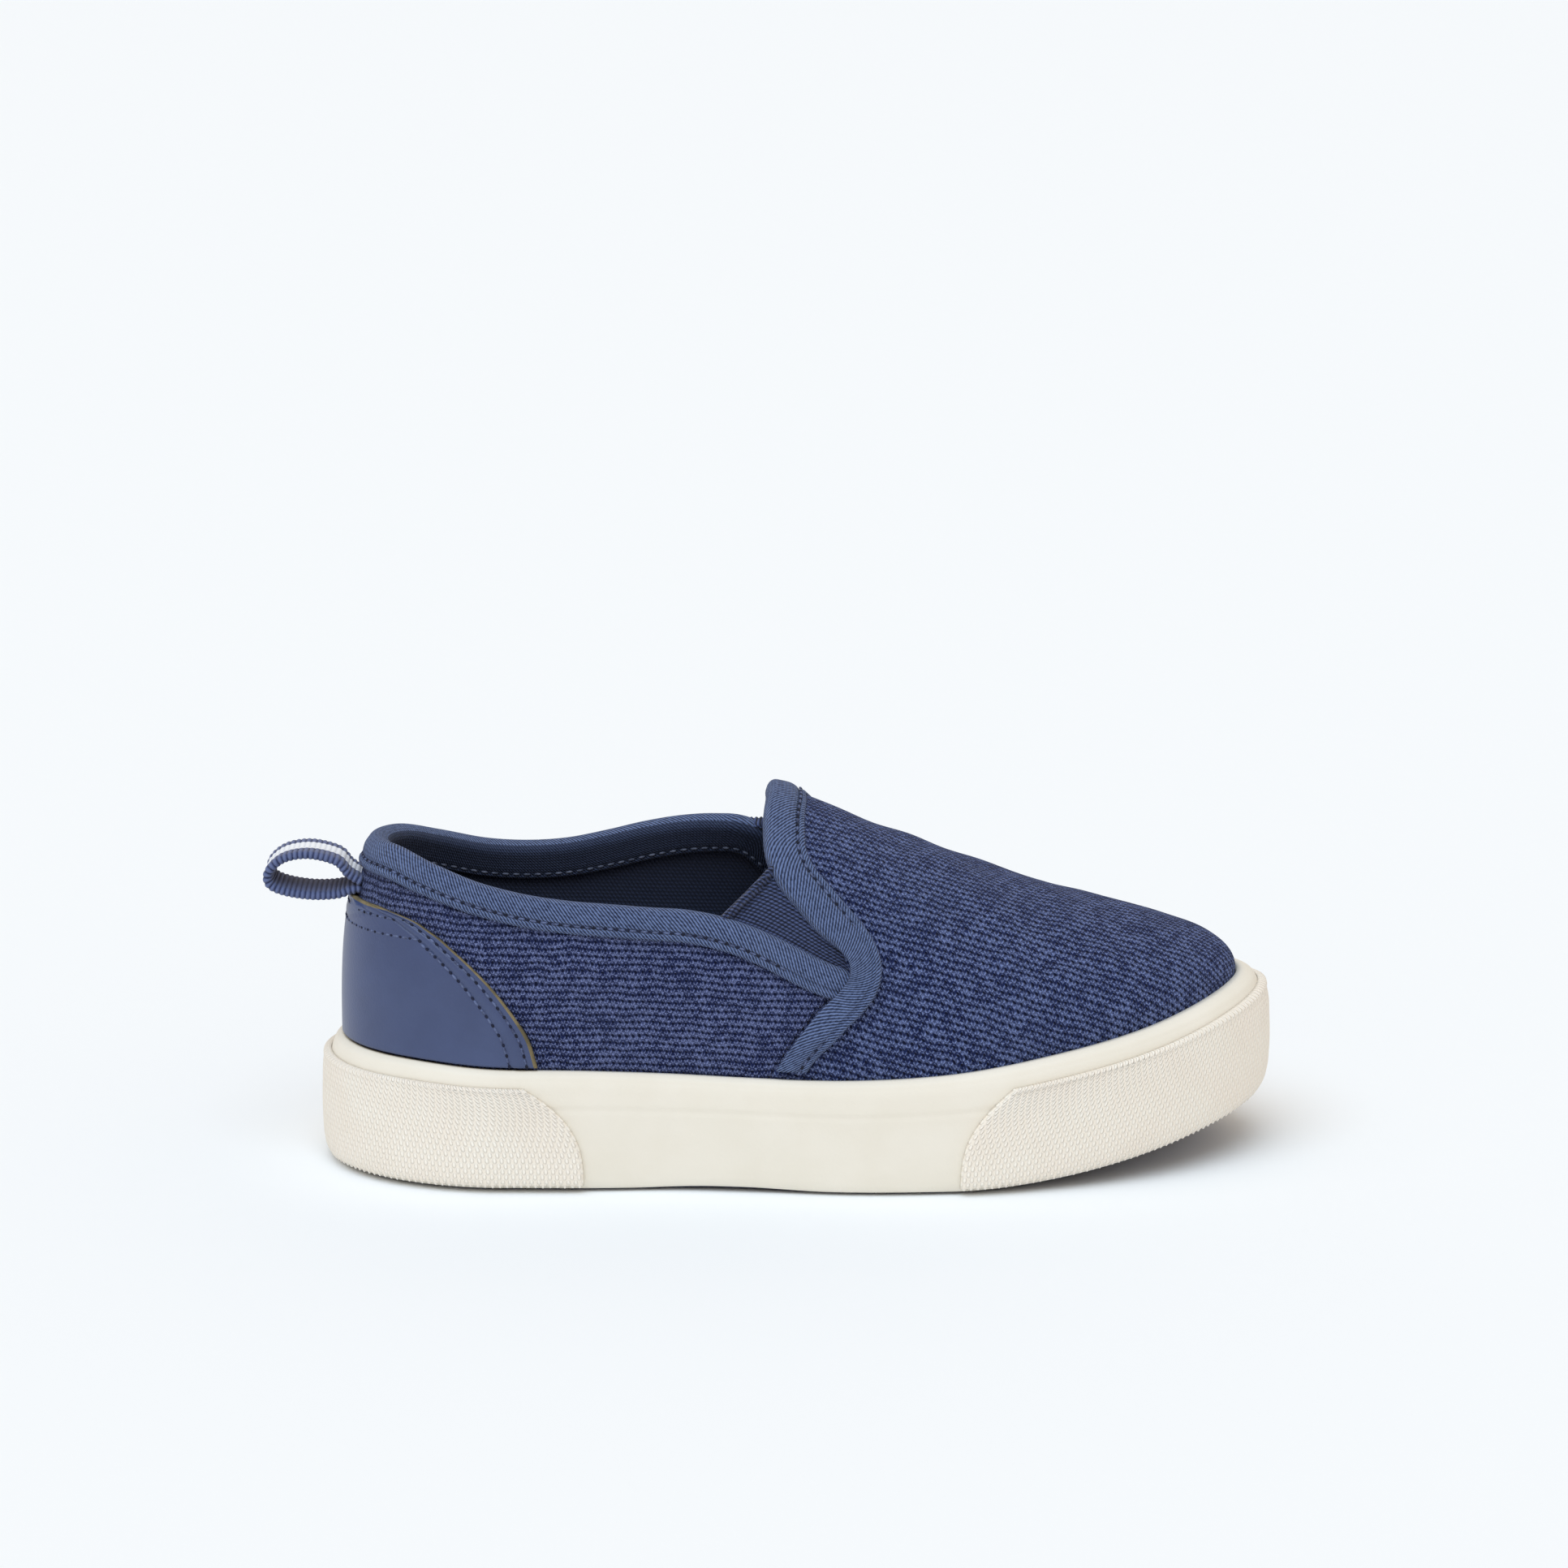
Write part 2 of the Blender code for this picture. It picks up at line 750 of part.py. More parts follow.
def binding_section(width, inside, hook):
    """Outline of a folded tape, as distance in from the edge and distance off the last.
    Hook 0 is a flat tape, and on the way to 1 it reaches over the edge, down past it and in."""
    low = GAP
    high = GAP + BINDING_THICK
    under = -(UPPER_WALL + GAP)
    deep = under - BINDING_THICK
    edge = -EDGE_CLEAR
    beyond = edge - BINDING_THICK
    c = BINDING_THICK * 0.35
    tiny = BINDING_THICK * 0.11
    leg = [
        (width * 0.33, low),
        (width * 0.67, low),
        (width, low),
        (width, high - 0.2 * c),
        (width - c, high),
        (width * 0.5, high),
    ]

    def strip(back):
        ends = [(back + c, high), (back, high - c), (back, low + c), (back + c, low)]
        return ends + [(back + c + tiny * i, low) for i in range(1, 7)]

    flat = leg + strip(GAP)
    over = leg + strip(beyond)
    turned = [(beyond + c, high), (beyond, high - c), (beyond, deep + c), (beyond + c, deep)]
    down = leg + turned + [
        (edge - 2 * tiny, deep),
        (edge - tiny, deep),
        (edge, deep + tiny),
        (edge, deep + 2 * tiny),
        (edge, under),
        (edge, low),
    ]
    folded = leg + turned + [
        (inside * 0.5, deep),
        (inside, deep),
        (inside, under),
        (inside * 0.5, under),
        (edge, under),
        (edge, low),
    ]
    stages = (flat, over, down, folded)
    first = min(int(hook * 3), 2)
    share = hook * 3 - first
    return [
        (a[0] + (b[0] - a[0]) * share, a[1] + (b[1] - a[1]) * share)
        for a, b in zip(stages[first], stages[first + 1])
    ]


def edge_sweep(name, path, sections, inward_sign, colour, forward=None):
    """A tape's section swept along an edge given as turns and levels.
    Forward says how far each section turns from square on its edge to straight ahead."""
    solid = bmesh.new()
    points = [last_point(*place) for place in path]
    loops = []
    for i, place in enumerate(path):
        before = points[max(i - 1, 0)]
        after = points[min(i + 1, len(points) - 1)]
        run = (after - before).normalized()
        normal = last_normal(*place)
        inward = normal.cross(run).normalized() * inward_sign
        if forward:
            ahead = Vector((1.0, 0.0, 0.0))
            ahead = (ahead - normal * ahead.dot(normal)).normalized()
            inward = (inward * (1 - forward[i]) + ahead * forward[i]).normalized()
        loop = []
        for drop, out in sections[i]:
            if drop > 0:
                turn, level = stepped(*place, inward, drop)
                loop.append(solid.verts.new(on_last(turn, min(level, 1.0), out)))
            else:
                loop.append(solid.verts.new(points[i] + inward * drop + normal * out))
        loops.append(loop)
    count = len(loops[0])
    for first, second in zip(loops, loops[1:]):
        for i in range(count):
            j = (i + 1) % count
            solid.faces.new((first[i], first[j], second[j], second[i]))
    solid.faces.new(loops[0])
    solid.faces.new(loops[-1])
    return new_object(name, solid, colour, 0.9)


def make_collar_binding():
    first = COLLAR_TAPE_SHORT - notch_turn(-1)
    last = notch_turn(1) - COLLAR_TAPE_SHORT
    path = []
    for step in range(EDGE_STEPS + 1):
        turn = first + (last - first) * step / EDGE_STEPS
        side = -1 if turn < 0 else 1
        path.append((turn, collar_level(side, abs(turn))))
    section = binding_section(COLLAR_BINDING_WIDTH, COLLAR_BINDING_INSIDE, 1.0)
    return edge_sweep("collar_binding", path, [section] * len(path), 1, TAPE_NAVY)


def tape_levels(side):
    """Levels of the tape's sections, closest together where it starts to fold over the edge."""
    top = notch_level(side)
    stops = (TAPE_FOOT, top, top + 0.16, 1.0)
    levels = [TAPE_FOOT]
    for low, high in zip(stops, stops[1:]):
        for step in range(1, THROAT_STEPS + 1):
            levels.append(low + (high - low) * step / THROAT_STEPS)
    return levels


def make_throat_binding():
    """Folded tape over the vamp's rear edge, flat below the notches."""
    path = []
    sections = []
    forward = []
    for side in (-1, 1):
        part = []
        for level in tape_levels(side):
            part.append(((side * seam_turn(side, level), level), share_of_level(level)))
        if side > 0:
            part = part[-2::-1]
        for place, share in part:
            path.append(place)
            hook = min(max((share - NOTCH_SHARE - FOLD_START) / (FOLD_END - FOLD_START), 0.0), 1.0)
            sections.append(binding_section(THROAT_BINDING_WIDTH, THROAT_BINDING_INSIDE, hook))
            forward.append(1 - ramp(share, 0.03, 0.30))
    return edge_sweep("throat_binding", path, sections, -1, TAPE_NAVY, forward)


def gore_grid(side):
    """Elastic between the quarter's top line and the vamp's rear edge, clear of both bindings."""
    clear = EDGE_CLEAR + BINDING_THICK + GAP + GORE_SLACK
    notch = edge_place(side, NOTCH_SHARE)

    def on_collar(part):
        turn = turn_at(SOLE_LENGTH * (notch + (GORE_START[side] - notch) * part))
        return side * turn, collar_level(side, turn)

    def on_vamp(part):
        share = NOTCH_SHARE + (GORE_TOP[side] - NOTCH_SHARE) * part
        level = level_of_share(notch_turn(side), share)
        return side * seam_turn(side, level), level

    def moved_off(edge, part, heading):
        run = last_point(*edge(part + 0.01)) - last_point(*edge(part - 0.01))
        away = last_normal(*edge(part)).cross(run).normalized() * heading
        return last_point(*stepped(*edge(part), away, clear))

    grid = []
    for row in range(GORE_ROWS + 1):
        part = GORE_TIP + (1 - GORE_TIP) * row / GORE_ROWS
        low = moved_off(on_collar, part, side)
        high = moved_off(on_vamp, part, -side)
        line = []
        for step in range(GORE_STEPS + 1):
            place = low + (high - low) * step / GORE_STEPS
            at = side * turn_at(place.x)
            line.append((at, level_at(at, place.z)))
        grid.append(line)
    return grid


def make_gores():
    for name, side in (("gore_lateral", -1), ("gore_medial", 1)):
        sheet(name, [gore_grid(side)], -GORE_SINK - GORE_THICK, -GORE_SINK, ELASTIC_NAVY, 0.9)


def make_heel_loop():
    """Ribbon folded into a loop behind the heel, its two ends tucked at the counter's top."""
    root_height = outline(0.0).z + 2 * GAP + COUNTER_RISE + ROOT_CLEAR
    root = on_last(0.0, level_at(0.0, root_height), GAP)
    centre = [Vector((root.x - back * LOOP_REACH, 0.0, root.z + up * LOOP_REACH)) for back, up in LOOP]
    line = []
    for i in range(len(centre) - 1):
        p0 = centre[max(i - 1, 0)]
        p3 = centre[min(i + 2, len(centre) - 1)]
        for step in range(LOOP_STEPS):
            s = step / LOOP_STEPS
            p1 = centre[i]
            p2 = centre[i + 1]
            line.append(0.5 * (2 * p1 + (p2 - p0) * s + (2 * p0 - 5 * p1 + 4 * p2 - p3) * s * s
                               + (3 * p1 - p0 - 3 * p2 + p3) * s ** 3))
    line.append(centre[-1])
    solid = bmesh.new()
    loops = []
    for i, point in enumerate(line):
        run = line[min(i + 1, len(line) - 1)] - line[max(i - 1, 0)]
        out = Vector((-run.z, 0.0, run.x)).normalized() * RIBBON_THICK / 2
        across = Vector((0.0, RIBBON_WIDTH / 2, 0.0))
        loops.append([solid.verts.new(point + a * across + b * out)
                      for a, b in ((-1, -1), (1, -1), (1, 1), (-1, 1))])
    for first, second in zip(loops, loops[1:]):
        for i in range(4):
            j = (i + 1) % 4
            solid.faces.new((first[i], first[j], second[j], second[i]))
    solid.faces.new(loops[0])
    solid.faces.new(loops[-1])
    return new_object("heel_loop", solid, RIBBON_NAVY, 0.85)


def main():
    for thing in list(bpy.data.objects):
        bpy.data.objects.remove(thing, do_unlink=True)
    make_outsole()
    make_midsole()
    make_bumpers()
    make_insole()
    make_upper()
    make_counter()
    make_collar_binding()
    make_throat_binding()
    make_gores()
    make_heel_loop()


main()
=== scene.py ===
import math

import bmesh
import bpy
import numpy as np
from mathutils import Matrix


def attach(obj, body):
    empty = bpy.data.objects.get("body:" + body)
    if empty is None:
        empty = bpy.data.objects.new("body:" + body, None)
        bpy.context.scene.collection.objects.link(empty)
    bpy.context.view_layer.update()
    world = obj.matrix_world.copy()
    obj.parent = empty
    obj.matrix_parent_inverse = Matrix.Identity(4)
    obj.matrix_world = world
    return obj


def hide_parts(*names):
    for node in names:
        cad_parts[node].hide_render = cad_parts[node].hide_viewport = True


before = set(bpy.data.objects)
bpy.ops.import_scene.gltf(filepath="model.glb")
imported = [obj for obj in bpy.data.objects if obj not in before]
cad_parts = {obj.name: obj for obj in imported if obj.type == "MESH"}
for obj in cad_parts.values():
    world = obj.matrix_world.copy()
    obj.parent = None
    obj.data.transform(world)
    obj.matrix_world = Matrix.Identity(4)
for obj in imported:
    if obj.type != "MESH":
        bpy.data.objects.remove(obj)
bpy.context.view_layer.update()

mm = 0.001
pi = math.pi
weldDistance = 1e-6

# Sizes of the last, as in the part's source. Everything is worked out in shoe
# coordinates and moved back by heelRest, so that it lands in the CAD frame.
last = {
    "soleLength": 178 * mm,
    "lateralHalf": 31.0 * mm,
    "medialHalf": 31.5 * mm,
    "toeShift": 4.0 * mm,
    "rimHeight": 22 * mm,
    "instepHeight": 68.9 * mm,
    "collarHeight": 59.9 * mm,
    "toeSpring": 10.5 * mm,
    "archRise": 0.4 * mm,
    "floorThick": 9 * mm,
    "gap": 0.3 * mm,
    "upperWall": 2.0 * mm,
    "heelRest": 27 * mm,
    "sideWall": 3.0 * mm,
    "backWall": 4.0 * mm,
    "toeWall": 5.4 * mm,
    "bumperThick": 0.9 * mm,
    "bumperClear": 0.4 * mm,
}
soleLength = last["soleLength"]
gap = last["gap"]
lastBack = last["backWall"] + last["bumperClear"] + last["bumperThick"]
lastToe = soleLength - last["toeWall"] - last["bumperClear"] - last["bumperThick"]
middle = (lastBack + lastToe) / 2
halfLength = (lastToe - lastBack) / 2
heelRound = 0.157 * soleLength
toeRound = 0.32 * soleLength
heelLean = 0.100 * soleLength
toeLean = 0.095 * soleLength
leanEnd = 0.18 * soleLength

# along, lateral, medial, rim, fullness
sections = (
    (0.029, 0.77, 0.76, 1.07, 2.7),
    (0.100, 0.76, 0.75, 1.06, 2.6),
    (0.190, 0.79, 0.76, 1.02, 2.1),
    (0.280, 0.82, 0.74, 1.01, 2.0),
    (0.370, 0.83, 0.74, 0.98, 2.0),
    (0.450, 0.89, 0.80, 0.96, 2.0),
    (0.540, 0.97, 0.90, 0.96, 2.05),
    (0.640, 1.00, 0.99, 1.00, 2.1),
    (0.750, 1.00, 1.02, 1.12, 2.1),
    (0.860, 1.00, 1.00, 1.28, 2.0),
    (0.962, 0.96, 0.96, 1.50, 1.9),
)
# along, height
ridge = (
    (0.120, 0.955), (0.150, 0.995), (0.200, 1.050), (0.260, 1.075), (0.340, 1.085),
    (0.395, 1.070), (0.438, 1.030), (0.475, 1.000), (0.530, 0.946), (0.580, 0.888),
    (0.657, 0.808), (0.734, 0.730), (0.811, 0.672), (0.880, 0.624),
)
# along, lateral, medial
collarLine = (
    (0.029, 1.000, 1.000), (0.067, 0.995, 0.987), (0.118, 0.957, 0.948), (0.174, 0.905, 0.908),
    (0.219, 0.874, 0.900), (0.258, 0.858, 0.908), (0.303, 0.847, 0.936), (0.343, 0.837, 0.966),
    (0.382, 0.829, 0.985), (0.416, 0.810, 0.990), (0.441, 0.787, 0.985), (0.466, 0.757, 0.950),
    (0.486, 0.729, 0.890), (0.506, 0.700, 0.815), (0.540, 0.661, 0.695), (0.560, 0.640, 0.645),
)
# rise, lateral, medial
vampEdge = (
    (0.00, 0.463, 0.470), (0.10, 0.479, 0.487), (0.20, 0.497, 0.506), (0.30, 0.517, 0.528),
    (0.37, 0.533, 0.547), (0.42, 0.541, 0.558), (0.47, 0.542, 0.562), (0.53, 0.534, 0.560),
    (0.60, 0.516, 0.550), (0.66, 0.499, 0.538), (0.72, 0.482, 0.524), (0.80, 0.470, 0.505),
    (0.88, 0.468, 0.489), (0.96, 0.471, 0.478), (1.00, 0.475, 0.475),
)
# rise, along
counterEdge = (
    (0.00, 0.228), (0.20, 0.219), (0.40, 0.200), (0.60, 0.175), (0.76, 0.148), (0.88, 0.122),
    (0.96, 0.093), (1.00, 0.060),
)
# rise, thickness of the sole's wall
wallLine = (
    (0.00, 0.66), (0.05, 0.82), (0.14, 0.94), (0.30, 1.00), (0.60, 0.98), (0.80, 0.90),
    (0.92, 0.72), (0.98, 0.48), (1.00, 0.28),
)
# back and up from the loop's root, its two ends tucked into the knit
loopLine = (
    (-0.06, 0.05), (0.09, 0.15), (0.22, 0.29), (0.52, 0.37), (0.80, 0.33), (0.97, 0.19), (0.97, 0.04),
    (0.80, -0.05), (0.50, -0.10), (0.22, -0.09), (0.06, -0.04), (-0.06, -0.02),
)


def curve(rows, index):
    places = np.array([row[0] for row in rows], float)
    values = np.array([row[index] for row in rows], float)
    slopes = np.gradient(values, places)

    def value(place):
        place = np.clip(np.asarray(place, float), places[0], places[-1])
        k = np.clip(np.searchsorted(places, place, side="right") - 1, 0, len(places) - 2)
        step = places[k + 1] - places[k]
        s = (place - places[k]) / step
        rise = (3 - 2 * s) * s * s
        bend = step * s * (1 - s) * ((1 - s) * slopes[k] - s * slopes[k + 1])
        return values[k] * (1 - rise) + values[k + 1] * rise + bend

    return value


lateralWidth = curve(sections, 1)
medialWidth = curve(sections, 2)
rimShare = curve(sections, 3)
fullness = curve(sections, 4)
ridgeShare = curve(ridge, 1)
collarLateral = curve(collarLine, 1)
collarMedial = curve(collarLine, 2)
edgeAlong = {-1: curve(vampEdge, 1), 1: curve(vampEdge, 2)}
counterAlong = curve(counterEdge, 1)
wallThick = curve(wallLine, 1)


def ramp(value, start, end):
    share = np.clip((np.asarray(value, float) - start) / (end - start), 0, 1)
    return share * share * (3 - 2 * share)


def unit(vectors):
    return vectors / np.maximum(np.linalg.norm(vectors, axis=-1, keepdims=True), 1e-12)


def runAlong(points, axis=0):
    first = np.take(points, [0], axis)
    return np.cumsum(np.linalg.norm(np.diff(points, axis=axis, prepend=first), axis=-1), axis)


def bell(distance, at, width):
    return np.exp(-((distance - at) / width) ** 2)


def centreLine(x):
    return last["toeShift"] * ramp(x, 0.52 * soleLength, soleLength)


def ground(x):
    share = x / soleLength
    arch = last["archRise"] * ramp(share, 0.32, 0.41) * (1 - ramp(share, 0.43, 0.52))
    return arch + last["toeSpring"] * (np.maximum(share - 0.652, 0) / (1 - 0.652)) ** 1.7


def station(turn):
    return middle - halfLength * np.cos(turn)


def turnAt(x):
    return np.arccos(np.clip((middle - x) / halfLength, -1, 1))


def outline(turn):
    turn = (np.asarray(turn, float) + pi) % (2 * pi) - pi
    x = station(turn)
    share = x / soleLength
    heel = np.minimum((x - lastBack) / heelRound, 1)
    toe = np.minimum((lastToe - x) / toeRound, 1)
    ends = np.sqrt(np.maximum(1 - (1 - heel) ** 2, 0)) * np.sqrt(np.maximum(1 - (1 - toe) ** 2, 0))
    lateral, medial = -last["lateralHalf"] * lateralWidth(share), last["medialHalf"] * medialWidth(share)
    width = np.where(turn < 0, lateral, medial)
    return np.stack([x, centreLine(x) + width * ends, last["rimHeight"] * rimShare(share)], -1)


def ridgePlace(x):
    heel = np.maximum(leanEnd - x, 0) / (leanEnd - lastBack)
    toe = np.maximum(x - (lastToe - toeRound), 0) / toeRound
    return x + heelLean * heel ** 2 - toeLean * toe ** 2


def ridgeHeight(x):
    return last["instepHeight"] * ridgeShare(ridgePlace(x) / soleLength)


def ridgeSlope(x):
    share = x / soleLength
    step = 0.005
    rise = ridgeShare(share + step) - ridgeShare(share - step)
    return last["instepHeight"] * rise / (2 * step * soleLength)


def lastPoint(turn, level):
    turn, level = np.broadcast_arrays(np.asarray(turn, float), np.asarray(level, float))
    base = outline(turn)
    x, y, z = base[..., 0], base[..., 1], base[..., 2]
    power = fullness(x / soleLength)
    angle = np.maximum(level, 0) * pi / 2
    across, up = np.cos(angle), np.sin(angle)
    reach = (np.abs(across) ** power + np.abs(up) ** power) ** (-1 / power)
    topX = ridgePlace(x)
    topY = centreLine(topX)
    side = reach * across
    tilt = ridgeSlope(topX) * np.maximum(x - topX, 0) * side * (1 - np.abs(side))
    rise = (ridgeHeight(x) - z) * reach * up
    above = np.stack([topX + (x - topX) * side, topY + (y - topY) * side, z + rise + tilt], -1)
    below = np.stack([x, y, z + (z - ground(x) - last["floorThick"] - gap) * level], -1)
    return np.where(level[..., None] < 0, below, above)


def slopesAt(turn, level):
    step = 0.002
    along = (lastPoint(turn + step, level) - lastPoint(turn - step, level)) / (2 * step)
    up = (lastPoint(turn, level + step) - lastPoint(turn, level - step)) / (2 * step)
    return along, up


def lastNormal(turn, level):
    turn, level = np.broadcast_arrays(np.asarray(turn, float), np.asarray(level, float))
    along, up = slopesAt(turn, level)
    short = np.linalg.norm(along, axis=-1) < 0.002
    along, up = slopesAt(np.where(short, turn - np.copysign(0.08, turn), turn), level)
    return unit(np.cross(up, along))


def levelOfShare(turn, share):
    power = fullness(station(turn) / soleLength)
    share = np.clip(share, 0, 1)
    across = np.maximum(1 - share ** power, 0) ** (1 / power)
    return np.arctan2(share, across) * 2 / pi


def levelAt(turn, height):
    base = outline(turn)
    return levelOfShare(turn, (height - base[..., 2]) / (ridgeHeight(base[..., 0]) - base[..., 2]))


def shareOfLevel(level, power=2.03):
    angle = np.maximum(level, 0) * pi / 2
    return np.sin(angle) / (np.cos(angle) ** power + np.sin(angle) ** power) ** (1 / power)


notchShare = 0.42
notchTurn = {side: float(turnAt(soleLength * edgeAlong[side](notchShare))) for side in (-1, 1)}


def seamTurn(side, level):
    share = shareOfLevel(level)
    along = np.where(np.asarray(side) < 0, edgeAlong[-1](share), edgeAlong[1](share))
    return turnAt(soleLength * along)


def collarLevel(side, turn):
    share = station(turn) / soleLength
    height = np.where(np.asarray(side) < 0, collarLateral(share), collarMedial(share)) * last["collarHeight"]
    return levelAt(side * turn, height)


def steppedPlace(turn, level, target):
    along, up = slopesAt(turn, level)
    aa, au, uu = (along * along).sum(-1), (along * up).sum(-1), (up * up).sum(-1)
    ta, tu = (target * along).sum(-1), (target * up).sum(-1)
    scale = aa * uu - au * au
    return turn + (ta * uu - tu * au) / scale, level + (tu * aa - ta * au) / scale


# Cloth plan: how far down the girth from the ridge, and which way it runs, over the last
planTurns = np.linspace(0.0, pi, 260)
planLevels = np.linspace(1.0, 0.0, 120)


def planTable(side):
    points = lastPoint(side * planTurns[:, None], planLevels[None, :])
    run = points[:, -1] - points[:, 0]
    heading = np.arctan2(run[:, 0], np.abs(run[:, 1]))
    return runAlong(points, 1), heading, runAlong(points[:, 0]), runAlong(outline(side * planTurns))


planTables = {side: planTable(side) for side in (-1, 1)}


def girthAt(side, turn, level):
    girth = planTables[side][0]
    a = np.clip(np.abs(turn) / pi * (len(planTurns) - 1), 0, len(planTurns) - 1.001)
    b = np.clip((1 - np.clip(level, 0, 1)) * (len(planLevels) - 1), 0, len(planLevels) - 1.001)
    i, j = a.astype(int), b.astype(int)
    s, t = a - i, b - j
    low = girth[i, j] * (1 - s) + girth[i + 1, j] * s
    high = girth[i, j + 1] * (1 - s) + girth[i + 1, j + 1] * s
    return low * (1 - t) + high * t


def vampPlan(side, turn, level):
    girth = girthAt(side, turn, level)
    heading = np.interp(np.abs(turn), planTurns, planTables[side][1])
    ridgeRun = np.interp(np.abs(turn), planTurns, planTables[side][2])
    return np.stack([ridgeRun + girth * np.sin(heading), side * girth * np.cos(heading)], -1) / mm


def quarterPlan(side, turn, level):
    foot = girthAt(side, turn, np.zeros_like(level)) + np.maximum(-level, 0) * 0.01
    run = np.interp(np.abs(turn), planTurns, planTables[side][3])
    return np.stack([run, foot - girthAt(side, turn, level)], -1) / mm


def gridFaces(ids, closeSecond=False):
    if closeSecond:
        ids = np.concatenate([ids, ids[:, :1]], 1)
    return np.stack([ids[:-1, :-1], ids[1:, :-1], ids[1:, 1:], ids[:-1, 1:]], -1).reshape(-1, 4).tolist()


def putInScene(name, data):
    thing = bpy.data.objects.new(name, data)
    bpy.context.scene.collection.objects.link(thing)
    return thing


def makePiece(name, points, faces, materials, plan=None, materialOf=None):
    mesh = bpy.data.meshes.new(name)
    moved = np.asarray(points, float) - np.array([last["heelRest"], 0, 0])
    mesh.from_pydata(moved.tolist(), [], faces)
    if materialOf is not None:
        mesh.polygons.foreach_set("material_index", np.asarray(materialOf, np.int32))
    if plan is not None:
        corners = np.empty(len(mesh.loops), np.int32)
        mesh.loops.foreach_get("vertex_index", corners)
        layer = mesh.uv_layers.new(name="clothPlan")
        layer.data.foreach_set("uv", np.asarray(plan, np.float32)[corners].ravel())
    work = bmesh.new()
    work.from_mesh(mesh)
    bmesh.ops.remove_doubles(work, verts=work.verts, dist=weldDistance)
    bmesh.ops.recalc_face_normals(work, faces=work.faces)
    if work.calc_volume(signed=True) < 0:
        bmesh.ops.reverse_faces(work, faces=work.faces)
    work.to_mesh(mesh)
    work.free()
    mesh.shade_smooth()
    for material in materials:
        mesh.materials.append(material)
    return putInScene(name, mesh)


def finishPiece(piece, slot, *nodes):
    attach(piece, "root")
    if nodes:
        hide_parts(*nodes)


def shellPiece(name, outer, inner, plan, materials, insideMaterial=0, openEnd=False, outerMaterial=0):
    rows, columns = outer.shape[:2]
    ids = np.arange(rows * columns).reshape(rows, columns)
    under = ids + rows * columns
    faces = gridFaces(ids)
    count = len(faces)
    faces += [face[::-1] for face in gridFaces(under)]
    edges = [(ids[0], under[0]), (ids[:, 0], under[:, 0]), (ids[:, -1], under[:, -1])]
    if not openEnd:
        edges.append((ids[-1], under[-1]))
    for top, low in edges:
        faces += np.stack([top[:-1], top[1:], low[1:], low[:-1]], -1).tolist()
    materialOf = np.full(len(faces), insideMaterial)
    materialOf[:count] = np.ravel(outerMaterial)
    points = np.concatenate([outer.reshape(-1, 3), inner.reshape(-1, 3)])
    flat = plan.reshape(-1, 2)
    return makePiece(name, points, faces, materials, np.concatenate([flat, flat]), materialOf)


def tubePiece(name, points, plan, materials, isSecond):
    rows, columns = points.shape[:2]
    ids = np.arange(rows * columns).reshape(rows, columns)
    faces = gridFaces(ids, closeSecond=True) + [ids[0].tolist(), ids[-1].tolist()]
    around = np.arange((rows - 1) * columns) % columns
    materialOf = np.concatenate([isSecond(around), [False, False]]).astype(int)
    return makePiece(name, points.reshape(-1, 3), faces, materials, plan.reshape(-1, 2), materialOf)


def softSwell(points, size):
    x, y, z = (points[..., i] / mm for i in range(3))
    wave = np.sin(x * 0.31 + z * 0.17 + 1.3) * np.sin(y * 0.24 - z * 0.21 + 0.4)
    wave += 0.6 * np.sin(x * 0.53 - y * 0.37 + 2.1) * np.sin(z * 0.47 + x * 0.11)
    return wave * size


# Materials: colours are given as the photo's 0 to 255 values
def colourOf(red, green, blue):
    shares = [v / 255 for v in (red, green, blue)]
    return (*(v / 12.92 if v <= 10 / 255 else ((v + 0.055) / 1.055) ** 2.4 for v in shares), 1.0)


def wire(tree, socket, value):
    if isinstance(value, tuple):
        socket.default_value = colourOf(*value)
    elif isinstance(value, (int, float)):
        socket.default_value = value
    else:
        tree.links.new(value, socket)


def calc(tree, operation, *inputs):
    node = tree.nodes.new("ShaderNodeMath")
    node.operation = operation
    for socket, value in zip(node.inputs, inputs):
        wire(tree, socket, value)
    return node.outputs[0]


def plus(tree, first, second):
    return calc(tree, "ADD", first, second)


def minus(tree, first, second):
    return calc(tree, "SUBTRACT", first, second)


def times(tree, first, second):
    return calc(tree, "MULTIPLY", first, second)


def over(tree, first, second):
    return calc(tree, "DIVIDE", first, second)


def smoothStep(tree, value, low, high):
    node = tree.nodes.new("ShaderNodeMapRange")
    node.interpolation_type = "SMOOTHSTEP"
    wire(tree, node.inputs["Value"], value)
    wire(tree, node.inputs["From Min"], low)
    wire(tree, node.inputs["From Max"], high)
    return node.outputs["Result"]


def mixColour(tree, factor, first, second):
    node = tree.nodes.new("ShaderNodeMix")
    node.data_type = "RGBA"
    wire(tree, node.inputs["Factor"], factor)
    wire(tree, node.inputs[6], first)
    wire(tree, node.inputs[7], second)
    return node.outputs[2]


# An input given as None, and an output named Colour, is a colour. All others are numbers.
def newGroup(name, inputs, outputs):
    tree = bpy.data.node_groups.new(name, "ShaderNodeTree")
    for label, value in inputs.items():
        if value is None:
            tree.interface.new_socket(label, in_out="INPUT", socket_type="NodeSocketColor")
        else:
            socket = tree.interface.new_socket(label, in_out="INPUT", socket_type="NodeSocketFloat")
            socket.default_value = value
    for label in outputs:
        kind = "NodeSocketColor" if label == "Colour" else "NodeSocketFloat"
        tree.interface.new_socket(label, in_out="OUTPUT", socket_type=kind)
    start = tree.nodes.new("NodeGroupInput")
    end = tree.nodes.new("NodeGroupOutput")
    return tree, start.outputs, end.inputs


